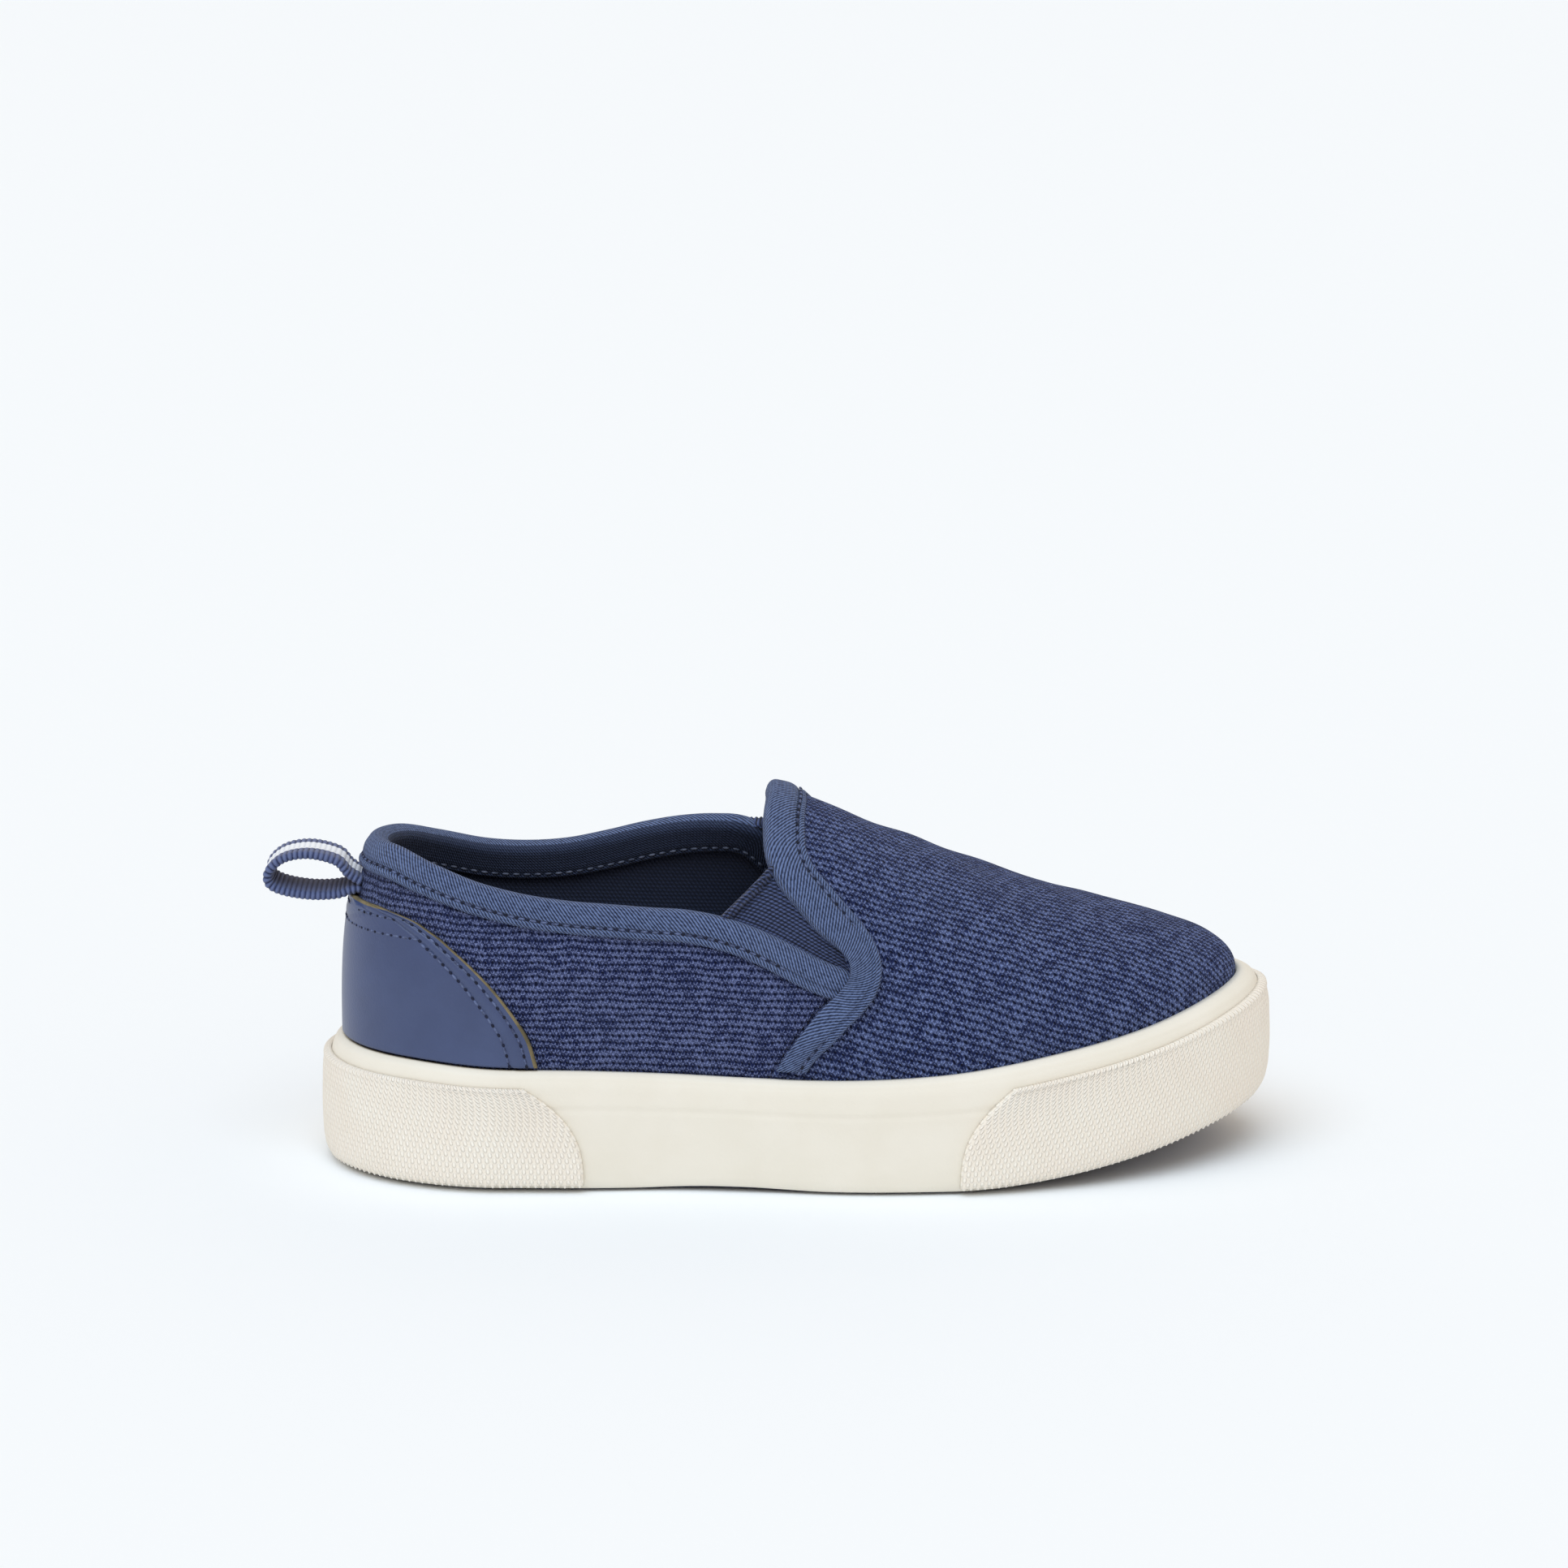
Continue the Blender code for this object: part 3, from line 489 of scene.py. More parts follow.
def useGroup(tree, group, **values):
    node = tree.nodes.new("ShaderNodeGroup")
    node.node_tree = group
    for label, value in values.items():
        wire(tree, node.inputs[label], value)
    return node.outputs


def makeSpeckle():
    tree, given, out = newGroup("speckle", {"Size": 1.0, "Detail": 3.0}, ("Value",))
    where = tree.nodes.new("ShaderNodeTexCoord")
    noise = tree.nodes.new("ShaderNodeTexNoise")
    tree.links.new(where.outputs["Object"], noise.inputs["Vector"])
    wire(tree, noise.inputs["Scale"], over(tree, 1000.0, given["Size"]))
    wire(tree, noise.inputs["Detail"], given["Detail"])
    tree.links.new(noise.outputs[0], out["Value"])
    return tree


speckle = makeSpeckle()  # noise whose grain is Size millimetres


def grain(tree, size, detail):
    return useGroup(tree, speckle, Size=size, Detail=detail)["Value"]


knitShape = {
    "sway": 2.0, "shakeAlong": 0.7, "shakeAcross": 0.5, "wide": 3.3, "tall": 4.2, "tilt": 0.30,
    "ragged": 0.3, "slitFrom": 0.35, "slitTo": 1.15, "slant": 0.55, "ridge": 0.28, "strand": 0.36,
    "twist": 0.05, "twistAlong": 13.0, "twistAcross": 19.0, "base": 0.40,
}


def makeKnitLoops():
    shape = knitShape
    inputs = {"Along": 0.0, "Across": 0.0, "RowPitch": 1.4, "LoopPitch": 1.4, "Wobble": 0.5}
    tree, given, out = newGroup("knitLoops", inputs, ("Height", "Hole", "Tone"))
    slow = grain(tree, 6.0, 2.0)
    shaken = grain(tree, 1.6, 2.0)
    sway = times(tree, minus(tree, slow, 0.5), given["Wobble"])
    shake = times(tree, minus(tree, shaken, 0.5), given["Wobble"])
    along = plus(tree, given["Along"], times(tree, shake, shape["shakeAlong"]))
    moved = plus(tree, times(tree, sway, shape["sway"]), times(tree, shake, shape["shakeAcross"]))
    across = plus(tree, given["Across"], moved)
    rows = over(tree, across, given["RowPitch"])
    row = calc(tree, "ROUND", rows)
    v = minus(tree, rows, row)
    shift = times(tree, calc(tree, "FLOORED_MODULO", row, 2.0), 0.5)
    columns = plus(tree, over(tree, along, given["LoopPitch"]), shift)
    column = calc(tree, "ROUND", columns)
    u = minus(tree, columns, column)
    place = tree.nodes.new("ShaderNodeCombineXYZ")
    wire(tree, place.inputs[0], column)
    wire(tree, place.inputs[1], row)
    white = tree.nodes.new("ShaderNodeTexWhiteNoise")
    tree.links.new(place.outputs[0], white.inputs["Vector"])
    wide = times(tree, u, shape["wide"])
    tall = times(tree, plus(tree, v, times(tree, u, shape["tilt"])), shape["tall"])
    far = calc(tree, "SQRT", plus(tree, times(tree, wide, wide), times(tree, tall, tall)))
    far = plus(tree, far, times(tree, minus(tree, white.outputs["Value"], 0.5), shape["ragged"]))
    solid = smoothStep(tree, far, shape["slitFrom"], shape["slitTo"])  # nothing in the slits between the rows
    bow = times(tree, calc(tree, "ABSOLUTE", v), 2.0)
    ridgeLine = times(tree, bow, minus(tree, 2.0, bow))
    slant = plus(tree, calc(tree, "ABSOLUTE", u), times(tree, v, shape["slant"]))
    strand = calc(tree, "SINE", times(tree, slant, 4.0 * pi))
    turns = plus(tree, times(tree, along, shape["twistAlong"]), times(tree, across, shape["twistAcross"]))
    twist = calc(tree, "SINE", turns)
    body = plus(tree, times(tree, ridgeLine, shape["ridge"]), times(tree, strand, shape["strand"]))
    body = plus(tree, body, times(tree, twist, shape["twist"]))
    height = times(tree, plus(tree, body, shape["base"]), solid)
    tree.links.new(height, out["Height"])
    tree.links.new(minus(tree, 1.0, solid), out["Hole"])
    tree.links.new(minus(tree, 1.0, white.outputs["Value"]), out["Tone"])
    return tree


knitLoops = makeKnitLoops()


def makeFineRibs():
    inputs = {"Along": 0.0, "Across": 0.0, "Pitch": 0.6, "Lean": 1.0, "Breaks": 0.5, "Shake": 0.12}
    tree, given, out = newGroup("fineRibs", inputs, ("Height", "Tone"))
    shake = minus(tree, grain(tree, 1.2, 2.0), 0.5)
    turned = plus(tree, given["Along"], times(tree, given["Across"], given["Lean"]))
    turned = plus(tree, turned, times(tree, shake, given["Shake"]))
    wave = calc(tree, "SINE", times(tree, over(tree, turned, given["Pitch"]), pi))
    crest = calc(tree, "ABSOLUTE", wave)
    cross = calc(tree, "SINE", times(tree, over(tree, given["Across"], given["Pitch"]), 2 * pi))
    cross = times(tree, plus(tree, times(tree, cross, 0.5), 0.5), given["Breaks"])
    height = times(tree, crest, minus(tree, 1.0, cross))
    tree.links.new(height, out["Height"])
    tree.links.new(grain(tree, 0.7, 3.0), out["Tone"])
    return tree


fineRibs = makeFineRibs()


def makeHandled():
    inputs = {"Colour": None, "Faded": None, "Amount": 0.3, "Size": 14.0}
    tree, given, out = newGroup("handled", inputs, ("Colour",))
    cloud = grain(tree, given["Size"], 4.0)
    amount = times(tree, smoothStep(tree, cloud, 0.38, 0.72), given["Amount"])
    tree.links.new(mixColour(tree, amount, given["Colour"], given["Faded"]), out["Colour"])
    return tree


handled = makeHandled()  # slow patches of a second, faded or dusty colour


def startMaterial(name, roughness, sheen=0.0, specular=0.5):
    material = bpy.data.materials.new(name)
    material.use_nodes = True
    tree = material.node_tree
    shader = tree.nodes["Principled BSDF"]
    shader.inputs["Roughness"].default_value = roughness
    shader.inputs["Sheen Weight"].default_value = sheen
    shader.inputs["Sheen Roughness"].default_value = 0.45
    shader.inputs["Specular IOR Level"].default_value = specular
    return material, tree, shader


def planSockets(tree):
    node = tree.nodes.new("ShaderNodeUVMap")
    node.uv_map = "clothPlan"
    split = tree.nodes.new("ShaderNodeSeparateXYZ")
    tree.links.new(node.outputs[0], split.inputs[0])
    return split.outputs[0], split.outputs[1]


def addColour(tree, shader, colour, faded, amount, size):
    worn = useGroup(tree, handled, Colour=colour, Faded=faded, Amount=amount, Size=size)["Colour"]
    tree.links.new(worn, shader.inputs["Base Color"])


def addBump(tree, shader, height, depth):
    bump = tree.nodes.new("ShaderNodeBump")
    bump.inputs["Distance"].default_value = depth
    wire(tree, bump.inputs["Height"], height)
    tree.links.new(bump.outputs[0], shader.inputs["Normal"])


def makeKnit(name, look):
    material, tree, shader = startMaterial(name, 0.92, sheen=0.06, specular=0.12)
    along, across = planSockets(tree)
    loops = useGroup(tree, knitLoops, Along=along, Across=across, RowPitch=look["rowPitch"],
                     LoopPitch=look["loopPitch"], Wobble=look["wobble"])
    fine = grain(tree, 0.35, 2.0)
    # Yarn colour follows loop height: painted shade in the troughs and painted highlight on the raised loops,
    # plus random tone and fine grain.
    tone = times(tree, minus(tree, loops["Tone"], 0.5), look["toneShare"])
    shade = plus(tree, times(tree, loops["Height"], look["heightShare"]), tone)
    shade = plus(tree, shade, minus(tree, fine, 0.5))
    yarn = mixColour(tree, smoothStep(tree, shade, 0.05, 0.95), look["low"], look["high"])
    yarn = useGroup(tree, handled, Colour=yarn, Faded=look["faded"], Amount=0.10, Size=16.0)["Colour"]
    # The slits between the rows are painted near-black: painted shade.
    colour = mixColour(tree, times(tree, loops["Hole"], look["slitShadeDepth"]), yarn, look["slitShade"])
    tree.links.new(colour, shader.inputs["Base Color"])
    height = plus(tree, loops["Height"], times(tree, fine, 0.15))
    addBump(tree, shader, height, look["relief"] * mm)
    return material


# slitShade is the near-black colour painted in the slits: painted shade.
vampLook = {
    "rowPitch": 1.42, "loopPitch": 1.5, "wobble": 0.8, "relief": 0.6, "slitShadeDepth": 0.95,
    "heightShare": 0.75, "toneShare": 0.42,
    "low": (20, 33, 80), "high": (124, 141, 194), "faded": (96, 111, 154), "slitShade": (8, 14, 40),
}
quarterLook = {
    "rowPitch": 1.3, "loopPitch": 1.2, "wobble": 0.75, "relief": 0.55, "slitShadeDepth": 0.95,
    "heightShare": 0.75, "toneShare": 0.42,
    "low": (20, 32, 78), "high": (126, 139, 190), "faded": (94, 107, 148), "slitShade": (8, 14, 40),
}
vampKnit = makeKnit("navyVampKnit", vampLook)
quarterKnit = makeKnit("navyQuarterKnit", quarterLook)


def makeCloth(name, look):
    sheen = look.get("sheen", 0.2)
    material, tree, shader = startMaterial(name, look["roughness"], sheen=sheen, specular=0.25)
    along, across = planSockets(tree)
    ribs = useGroup(tree, fineRibs, Along=along, Across=across, Pitch=look["pitch"], Lean=look["lean"],
                    Breaks=look["breaks"], Shake=look["shake"])
    # Cloth colour follows rib height: painted shade in the valleys and painted highlight on the crests, with
    # random mottle.
    mottle = times(tree, minus(tree, ribs["Tone"], 0.5), look["mottle"])
    shade = plus(tree, ribs["Height"], mottle)
    colour = mixColour(tree, smoothStep(tree, shade, 0.0, 1.0), look["low"], look["high"])
    if "stripe" in look:
        off = calc(tree, "ABSOLUTE", minus(tree, across, look["stripeMiddle"]))
        half, soft = look["stripeHalf"], look["stripeSoft"]
        band = minus(tree, 1.0, smoothStep(tree, off, half - soft, half + soft))
        # The stripe is also paler on the raised ribs: painted highlight and painted shade.
        raised = smoothStep(tree, ribs["Height"], 0.0, 0.9)
        pale = mixColour(tree, raised, look["stripeLow"], look["stripe"])
        colour = mixColour(tree, band, colour, pale)
    addColour(tree, shader, colour, look["faded"], 0.07, 11.0)
    addBump(tree, shader, ribs["Height"], look["relief"] * mm)
    return material


tapeLook = {
    "roughness": 0.85, "pitch": 0.70, "lean": 0.9, "breaks": 0.35, "relief": 0.34, "sheen": 0.1,
    "shake": 0.14, "mottle": 0.9, "low": (12, 27, 62), "high": (112, 132, 178), "faded": (112, 126, 160),
}
# The tape's inner faces get a darker copy of the twill: painted shade.
tapeInsidePaintedShadeLook = {
    "roughness": 0.9, "pitch": 0.60, "lean": 0.9, "breaks": 0.35, "relief": 0.20, "sheen": 0.05,
    "shake": 0.14, "mottle": 0.6, "low": (30, 38, 62), "high": (66, 78, 108), "faded": (66, 76, 102),
}
elasticLook = {
    "roughness": 0.9, "pitch": 0.74, "lean": 0.0, "breaks": 0.6, "relief": 0.32, "shake": 0.08, "mottle": 0.6,
    "low": (2, 6, 24), "high": (82, 96, 140), "faded": (60, 72, 104),
}
ribbonLook = {
    "roughness": 0.8, "pitch": 0.95, "lean": 0.0, "breaks": 0.0, "relief": 0.10, "shake": 0.1, "mottle": 0.5,
    "low": (44, 54, 92), "high": (98, 110, 150), "faded": (104, 112, 146),
}
stripedLook = {
    **ribbonLook, "stripe": (246, 249, 253), "stripeLow": (230, 235, 244), "stripeMiddle": 0.6,
    "stripeHalf": 2.3, "stripeSoft": 0.15,
}
liningLook = {
    "roughness": 0.95, "pitch": 0.8, "lean": 0.6, "breaks": 0.5, "relief": 0.15, "shake": 0.2, "mottle": 0.6,
    "low": (40, 48, 70), "high": (60, 70, 98), "faded": (66, 75, 100),
}
tapeCloth = makeCloth("navyTapeTwill", tapeLook)
tapeInsidePaintedShade = makeCloth("shadedTapeTwill", tapeInsidePaintedShadeLook)
elasticCloth = makeCloth("ribbedElastic", elasticLook)
ribbonCloth = makeCloth("navyRibbon", ribbonLook)
stripedCloth = makeCloth("stripedRibbon", stripedLook)
liningCloth = makeCloth("darkLining", liningLook)


def makeGrain(name, look):
    material, tree, shader = startMaterial(name, look["roughness"], specular=look.get("specular", 0.5))
    fine = grain(tree, look["grain"], 3.0)
    broad = grain(tree, look["broad"], 3.0)
    colour = mixColour(tree, smoothStep(tree, broad, 0.3, 0.7), look["low"], look["high"])
    addColour(tree, shader, colour, look["faded"], look["dust"], 9.0)
    rough = plus(tree, look["roughness"] - 0.08, times(tree, broad, 0.16))
    tree.links.new(rough, shader.inputs["Roughness"])
    addBump(tree, shader, fine, look["relief"] * mm)
    return material


leatherLook = {
    "roughness": 0.36, "grain": 0.45, "broad": 14.0, "relief": 0.05, "dust": 0.12, "specular": 0.6,
    "low": (51, 66, 106), "high": (59, 75, 117), "faded": (76, 91, 130),
}
edgeLook = {
    "roughness": 0.8, "grain": 0.3, "broad": 3.0, "relief": 0.1, "dust": 0.2,
    "low": (92, 84, 60), "high": (136, 122, 88), "faded": (132, 120, 92),
}
creamLook = {
    "roughness": 0.55, "grain": 0.5, "broad": 14.0, "relief": 0.03, "dust": 0.25, "specular": 0.4,
    "low": (238, 232, 218), "high": (241, 235, 222), "faded": (232, 224, 207),
}
treadLook = {
    "roughness": 0.62, "grain": 0.4, "broad": 7.0, "relief": 0.08, "dust": 0.3,
    "low": (46, 52, 78), "high": (60, 66, 94), "faded": (92, 96, 116),
}
# The pale specks of the thread's random tone stand in for glints: painted highlight.
threadLook = {
    "roughness": 0.6, "grain": 0.2, "broad": 0.9, "relief": 0.04, "dust": 0.3,
    "low": (24, 33, 68), "high": (92, 106, 146), "faded": (120, 134, 170),
}
shadedThreadLook = {
    "roughness": 0.8, "grain": 0.2, "broad": 0.9, "relief": 0.04, "dust": 0.2,
    "low": (60, 68, 90), "high": (112, 120, 142), "faded": (112, 120, 142),
}
# Dark dots set at the needle holes: painted shade.
needleHoleShadeLook = {
    "roughness": 0.95, "grain": 0.2, "broad": 2.0, "relief": 0.02, "dust": 0.1,
    "low": (12, 17, 36), "high": (24, 31, 58), "faded": (36, 44, 74),
}
counterLeather = makeGrain("navyCoatedLeather", leatherLook)
rawEdge = makeGrain("leatherCutEdge", edgeLook)
creamRubber = makeGrain("creamRubber", creamLook)
treadRubber = makeGrain("navyTreadRubber", treadLook)
navyThread = makeGrain("navyThread", threadLook)
shadedThread = makeGrain("shadedThread", shadedThreadLook)
needleHoleShade = makeGrain("needleHoleShade", needleHoleShadeLook)


def makeKnurl(name, look):
    material, tree, shader = startMaterial(name, 0.6, specular=0.35)
    along, across = planSockets(tree)
    a = over(tree, along, look["pitch"])
    b = over(tree, across, look["rise"])
    first = calc(tree, "PINGPONG", plus(tree, a, b), 0.5)
    second = calc(tree, "PINGPONG", minus(tree, a, b), 0.5)
    diamond = times(tree, times(tree, first, second), 4.0)
    height = smoothStep(tree, diamond, 0.02, 0.55)
    # The grooves between the bumps are painted darker: painted shade.
    groove = times(tree, minus(tree, 1.0, height), look["shade"])
    broad = grain(tree, 10.0, 3.0)
    colour = mixColour(tree, smoothStep(tree, broad, 0.3, 0.7), look["low"], look["high"])
    colour = mixColour(tree, groove, colour, look["groove"])
    addColour(tree, shader, colour, look["groove"], 0.2, 7.0)
    fine = grain(tree, 0.5, 2.0)
    addBump(tree, shader, plus(tree, height, times(tree, fine, 0.08)), look["relief"] * mm)
    return material


# groove is the painted shade colour in the grooves and also tints the random patches; shade sets how much.
knurlLook = {
    "pitch": 1.25, "rise": 2.1, "relief": 0.20, "shade": 0.55,
    "low": (253, 245, 233), "high": (254, 249, 238), "groove": (240, 229, 213),
}
knurledRubber = makeKnurl("knurledCreamRubber", knurlLook)
print("materials made")


# Knit upper: two quarters and the vamp, each a closed shell with the lining on its inner side
upperShape = {
    "quarterColumns": 150, "quarterRows": 72, "vampColumns": 130, "vampRows": 84,
    "swell": 0.22, "crown": 0.35, "vampCrown": 0.5,
}
marginLevels = np.array([-1.0, -0.5])


def quarterPlaces(side):
    part = np.linspace(0, 1, upperShape["quarterColumns"] + 1)[:, None]
    rows = np.concatenate([marginLevels, np.linspace(0, 1, upperShape["quarterRows"] + 1)])[None, :]
    top = float(collarLevel(side, notchTurn[side]))
    columnTop = collarLevel(side, notchTurn[side] * part)
    seam = seamTurn(side, rows * top)
    level = np.where(rows < 0, rows, rows * columnTop)
    turn = side * part * seam
    level[-1] = np.where(rows[0] < 0, rows[0], rows[0] * top)
    return turn, level, part, rows


def knitPiece(name, base, normal, fade, crown, plan, cloth, openEnd=False):
    lift = (crown * fade + softSwell(base, upperShape["swell"]) * fade) * mm
    outer = base + normal * lift[..., None]
    inner = base - normal * last["upperWall"]
    piece = shellPiece(name, outer, inner, plan, [cloth, liningCloth], 1, openEnd=openEnd)
    finishPiece(piece, "knit", "upper")


def makeQuarters():
    for name, side in (("quarterLateral", -1), ("quarterMedial", 1)):
        turn, level, part, rows = quarterPlaces(side)
        normal = lastNormal(turn, level)
        base = lastPoint(turn, level)
        fade = np.sin(pi * np.clip(rows, 0, 1)) ** 0.7 * np.sin(pi * np.clip(part * 0.98 + 0.01, 0, 1)) ** 0.5
        plan = quarterPlan(side, turn, level)
        knitPiece(name, base, normal, fade, upperShape["crown"], plan, quarterKnit)


def vampPlaces():
    part = np.linspace(0, 1, upperShape["vampColumns"] + 1)[:, None]
    half = np.concatenate([marginLevels, np.linspace(0, 1, upperShape["vampRows"] + 1)])
    levels = np.concatenate([half, half[-2::-1]])[None, :]
    sides = np.concatenate([-np.ones(len(half)), np.ones(len(half) - 1)])[None, :]
    start = seamTurn(sides, levels)
    turn = sides * (start + (pi - start) * part)
    return turn, np.broadcast_to(levels, turn.shape), sides, part


def makeVamp():
    turn, level, sides, part = vampPlaces()
    normal = lastNormal(turn, level)
    normal[-1] = unit(normal[-1] + normal[-1, ::-1])
    base = lastPoint(turn, level)
    upward = np.sin(pi * np.clip(level, 0, 1) / 2) ** 0.5
    fade = upward * np.clip(np.sin(pi * np.clip(part, 0, 1) ** 0.7), 0, 1) ** 0.4
    plans = {side: vampPlan(side, turn, level) for side in (-1, 1)}
    plan = np.where((sides < 0)[..., None], plans[-1], plans[1])
    crown = upperShape["crown"] * upperShape["vampCrown"]
    knitPiece("vamp", base, normal, fade, crown, plan, vampKnit, openEnd=True)


makeQuarters()
makeVamp()
print("knit upper made")


# Folded tapes round the collar and the throat
tape = {
    "thick": 0.9 * mm, "clear": 0.45 * mm, "collarWidth": 4.6 * mm, "collarInside": 5.4 * mm,
    "throatWidth": 6.0 * mm, "throatInside": 4.0 * mm, "stitchIn": 1.4 * mm, "steps": 340,
    "foot": 0.02, "foldStart": 0.06, "foldEnd": 0.20, "under": 0.022, "sink": 0.75 * mm, "lift": 0.45 * mm,
    "insideFrom": 31, "ridgeSink": 0.55 * mm, "legPoints": 22, "rollPoints": 15, "innerPoints": 12,
    "rollAt": 0.7 * mm, "flatStep": 0.05 * mm, "lip": 0.20, "dent": -0.42, "puff": 0.16, "endRound": -0.45,
    "innerLip": 0.25 * mm, "threadSunk": 0.22 * mm, "innerRowIn": 0.9 * mm, "innerThreadOut": 0.05 * mm,
}


def tapeSection(width, inside, hook):
    low, high = gap, gap + tape["thick"]
    under = -(last["upperWall"] + gap)
    deep = under - tape["thick"]
    edge = -tape["clear"]
    beyond = edge - tape["thick"]
    rollAt = tape["rollAt"]
    drop = width - (width - rollAt) * np.linspace(0, 1, tape["legPoints"])
    fromEnd = (width - drop) / mm
    lip = tape["lip"] * bell(fromEnd, 0.75, 0.45)
    dent = tape["dent"] * bell(fromEnd, tape["stitchIn"] / mm, 0.32)
    puff = tape["puff"] * np.sin(pi * np.clip((fromEnd - 1.9) / (width / mm - 2.4), 0, 1))
    roundEnd = tape["endRound"] * bell(fromEnd, 0, 0.22)
    leg = list(zip(drop, high + (lip + dent + puff + roundEnd) * mm))
    angles = np.linspace(0, pi, tape["rollPoints"] + 2)[1:-1]
    middleOut, halfOut = (high + deep) / 2, (high - deep) / 2
    flatMiddle, flatHalf = (low + high) / 2, (high - low) / 2
    folded, flat = [], []
    for angle in angles:
        rise = math.copysign(abs(math.cos(angle)) ** 0.85, math.cos(angle))
        folded.append((rollAt - (rollAt - beyond) * abs(math.sin(angle)) ** 0.75, middleOut + halfOut * rise))
        flat.append((rollAt - (rollAt - gap) * math.sin(angle), flatMiddle + flatHalf * math.cos(angle)))
    innerDrop = np.linspace(rollAt, inside, tape["innerPoints"])
    innerFolded = [(d, deep + tape["innerLip"] * bell((inside - d) / mm, 0.9, 0.35)) for d in innerDrop]
    under = [(inside, under), (inside * 0.5, under), (edge, under), (edge, low)]
    back = [(width * 0.5, low), (width, low)]
    flatInner = [(rollAt + tape["flatStep"] * i, low) for i in range(tape["innerPoints"] + len(under))]
    a = np.array(leg + flat + flatInner + back)
    b = np.array(leg + folded + innerFolded + under + back)
    return a + (b - a) * hook


def sweepFrame(turns, levels, inwardSign, forward=None):
    points = lastPoint(turns, levels)
    run = unit(np.gradient(points, axis=0))
    normal = lastNormal(turns, levels)
    inward = unit(np.cross(normal, run)) * inwardSign
    if forward is not None:
        ahead = np.array([1.0, 0, 0]) - normal * normal[:, :1]
        inward = unit(inward * (1 - forward[:, None]) + unit(ahead) * forward[:, None])
    return points, normal, inward


def offEdge(turns, levels, drop, out, inwardSign, forward=None):
    points, normal, inward = sweepFrame(turns, levels, inwardSign, forward)
    target = inward[:, None, :] * drop[..., None]
    turn, level = steppedPlace(turns[:, None] + 0 * drop, levels[:, None] + 0 * drop, target)
    level = np.minimum(level, 1.0)
    n = lastNormal(turn, level)
    onCloth = lastPoint(turn, level) + n * out[..., None]
    past = points[:, None] + target + normal[:, None] * out[..., None]
    inside = (drop > 0)[..., None]
    return np.where(inside, onCloth, past), np.where(inside, n, np.broadcast_to(normal[:, None], n.shape))


def sweepPiece(name, turns, levels, profile, inwardSign, forward=None):
    points, _ = offEdge(turns, levels, profile[..., 0], profile[..., 1], inwardSign, forward)
    runs = np.broadcast_arrays(-inwardSign * runAlong(points[:, 0])[:, None], runAlong(points, 1))
    columns = points.shape[1]

    # the inner faces take the darker copy of the tape: painted shade
    def isInside(around):
        return (around >= tape["insideFrom"]) & (around < columns - 1)

    return tubePiece(name, points, np.stack(runs, -1) / mm, [tapeCloth, tapeInsidePaintedShade], isInside)


def collarPath():
    turns = np.linspace(-tape["under"] - notchTurn[-1], notchTurn[1] + tape["under"], tape["steps"] + 1)
    return turns, collarLevel(np.where(turns < 0, -1, 1), np.abs(turns))


def throatPath():
    half = np.concatenate([np.linspace(tape["foot"], 0.9, 120), np.linspace(0.9, 1.0, 30)[1:]])
    levels = np.concatenate([half, half[-2::-1]])
    sides = np.concatenate([-np.ones(len(half)), np.ones(len(half) - 1)])
    share = shareOfLevel(levels)
    hook = ramp(share, notchShare + tape["foldStart"] - 0.01, notchShare + tape["foldEnd"])
    return sides * seamTurn(sides, levels), levels, hook, 1 - ramp(share, 0.03, 0.30)


def makeTapes():
    turns, levels = collarPath()
    section = tapeSection(tape["collarWidth"], tape["collarInside"], 1.0)
    profile = np.repeat(section[None], len(turns), 0)
    toEnd = np.minimum(turns - turns[0], turns[-1] - turns)
    profile[..., 1] -= (tape["sink"] * (1 - ramp(toEnd, 0.0, 0.06)))[:, None]
    finishPiece(sweepPiece("collarTape", turns, levels, profile, 1), "tape", "collar_binding")
    turns, levels, hook, forward = throatPath()
    profile = np.stack([tapeSection(tape["throatWidth"], tape["throatInside"], h) for h in hook])
    share = shareOfLevel(levels)
    raised = tape["lift"] * ramp(share, 0.10, 0.28) * (1 - ramp(share, notchShare + 0.06, notchShare + 0.22))
    profile[..., 1] += raised[:, None]
    legPoints = np.arange(profile.shape[1]) < tape["legPoints"]
    settled = ramp(share, 0.86, 0.99)[:, None] * ramp(profile[..., 0] / tape["throatWidth"], 0.45, 0.95)
    profile[..., 1] -= tape["ridgeSink"] * settled * legPoints
    finishPiece(sweepPiece("throatTape", turns, levels, profile, -1, forward), "tape", "throat_binding")


makeTapes()
print("tapes made")


# Elastic gores with a rolled top edge
gore = {
    "thick": 1.0 * mm, "sink": 0.6 * mm, "start": {-1: 0.410, 1: 0.445}, "top": {-1: 0.79, 1: 0.84},
    "tip": 0.03, "tuck": -0.75 * mm, "roll": 1.35 * mm, "rows": 100, "steps": 90, "cord": 0.95,
    "flatEnd": 0.5, "cornerTuck": 0.8 * mm, "fold": -0.4, "edgeRound": -0.4, "cordRelief": 0.16,
}


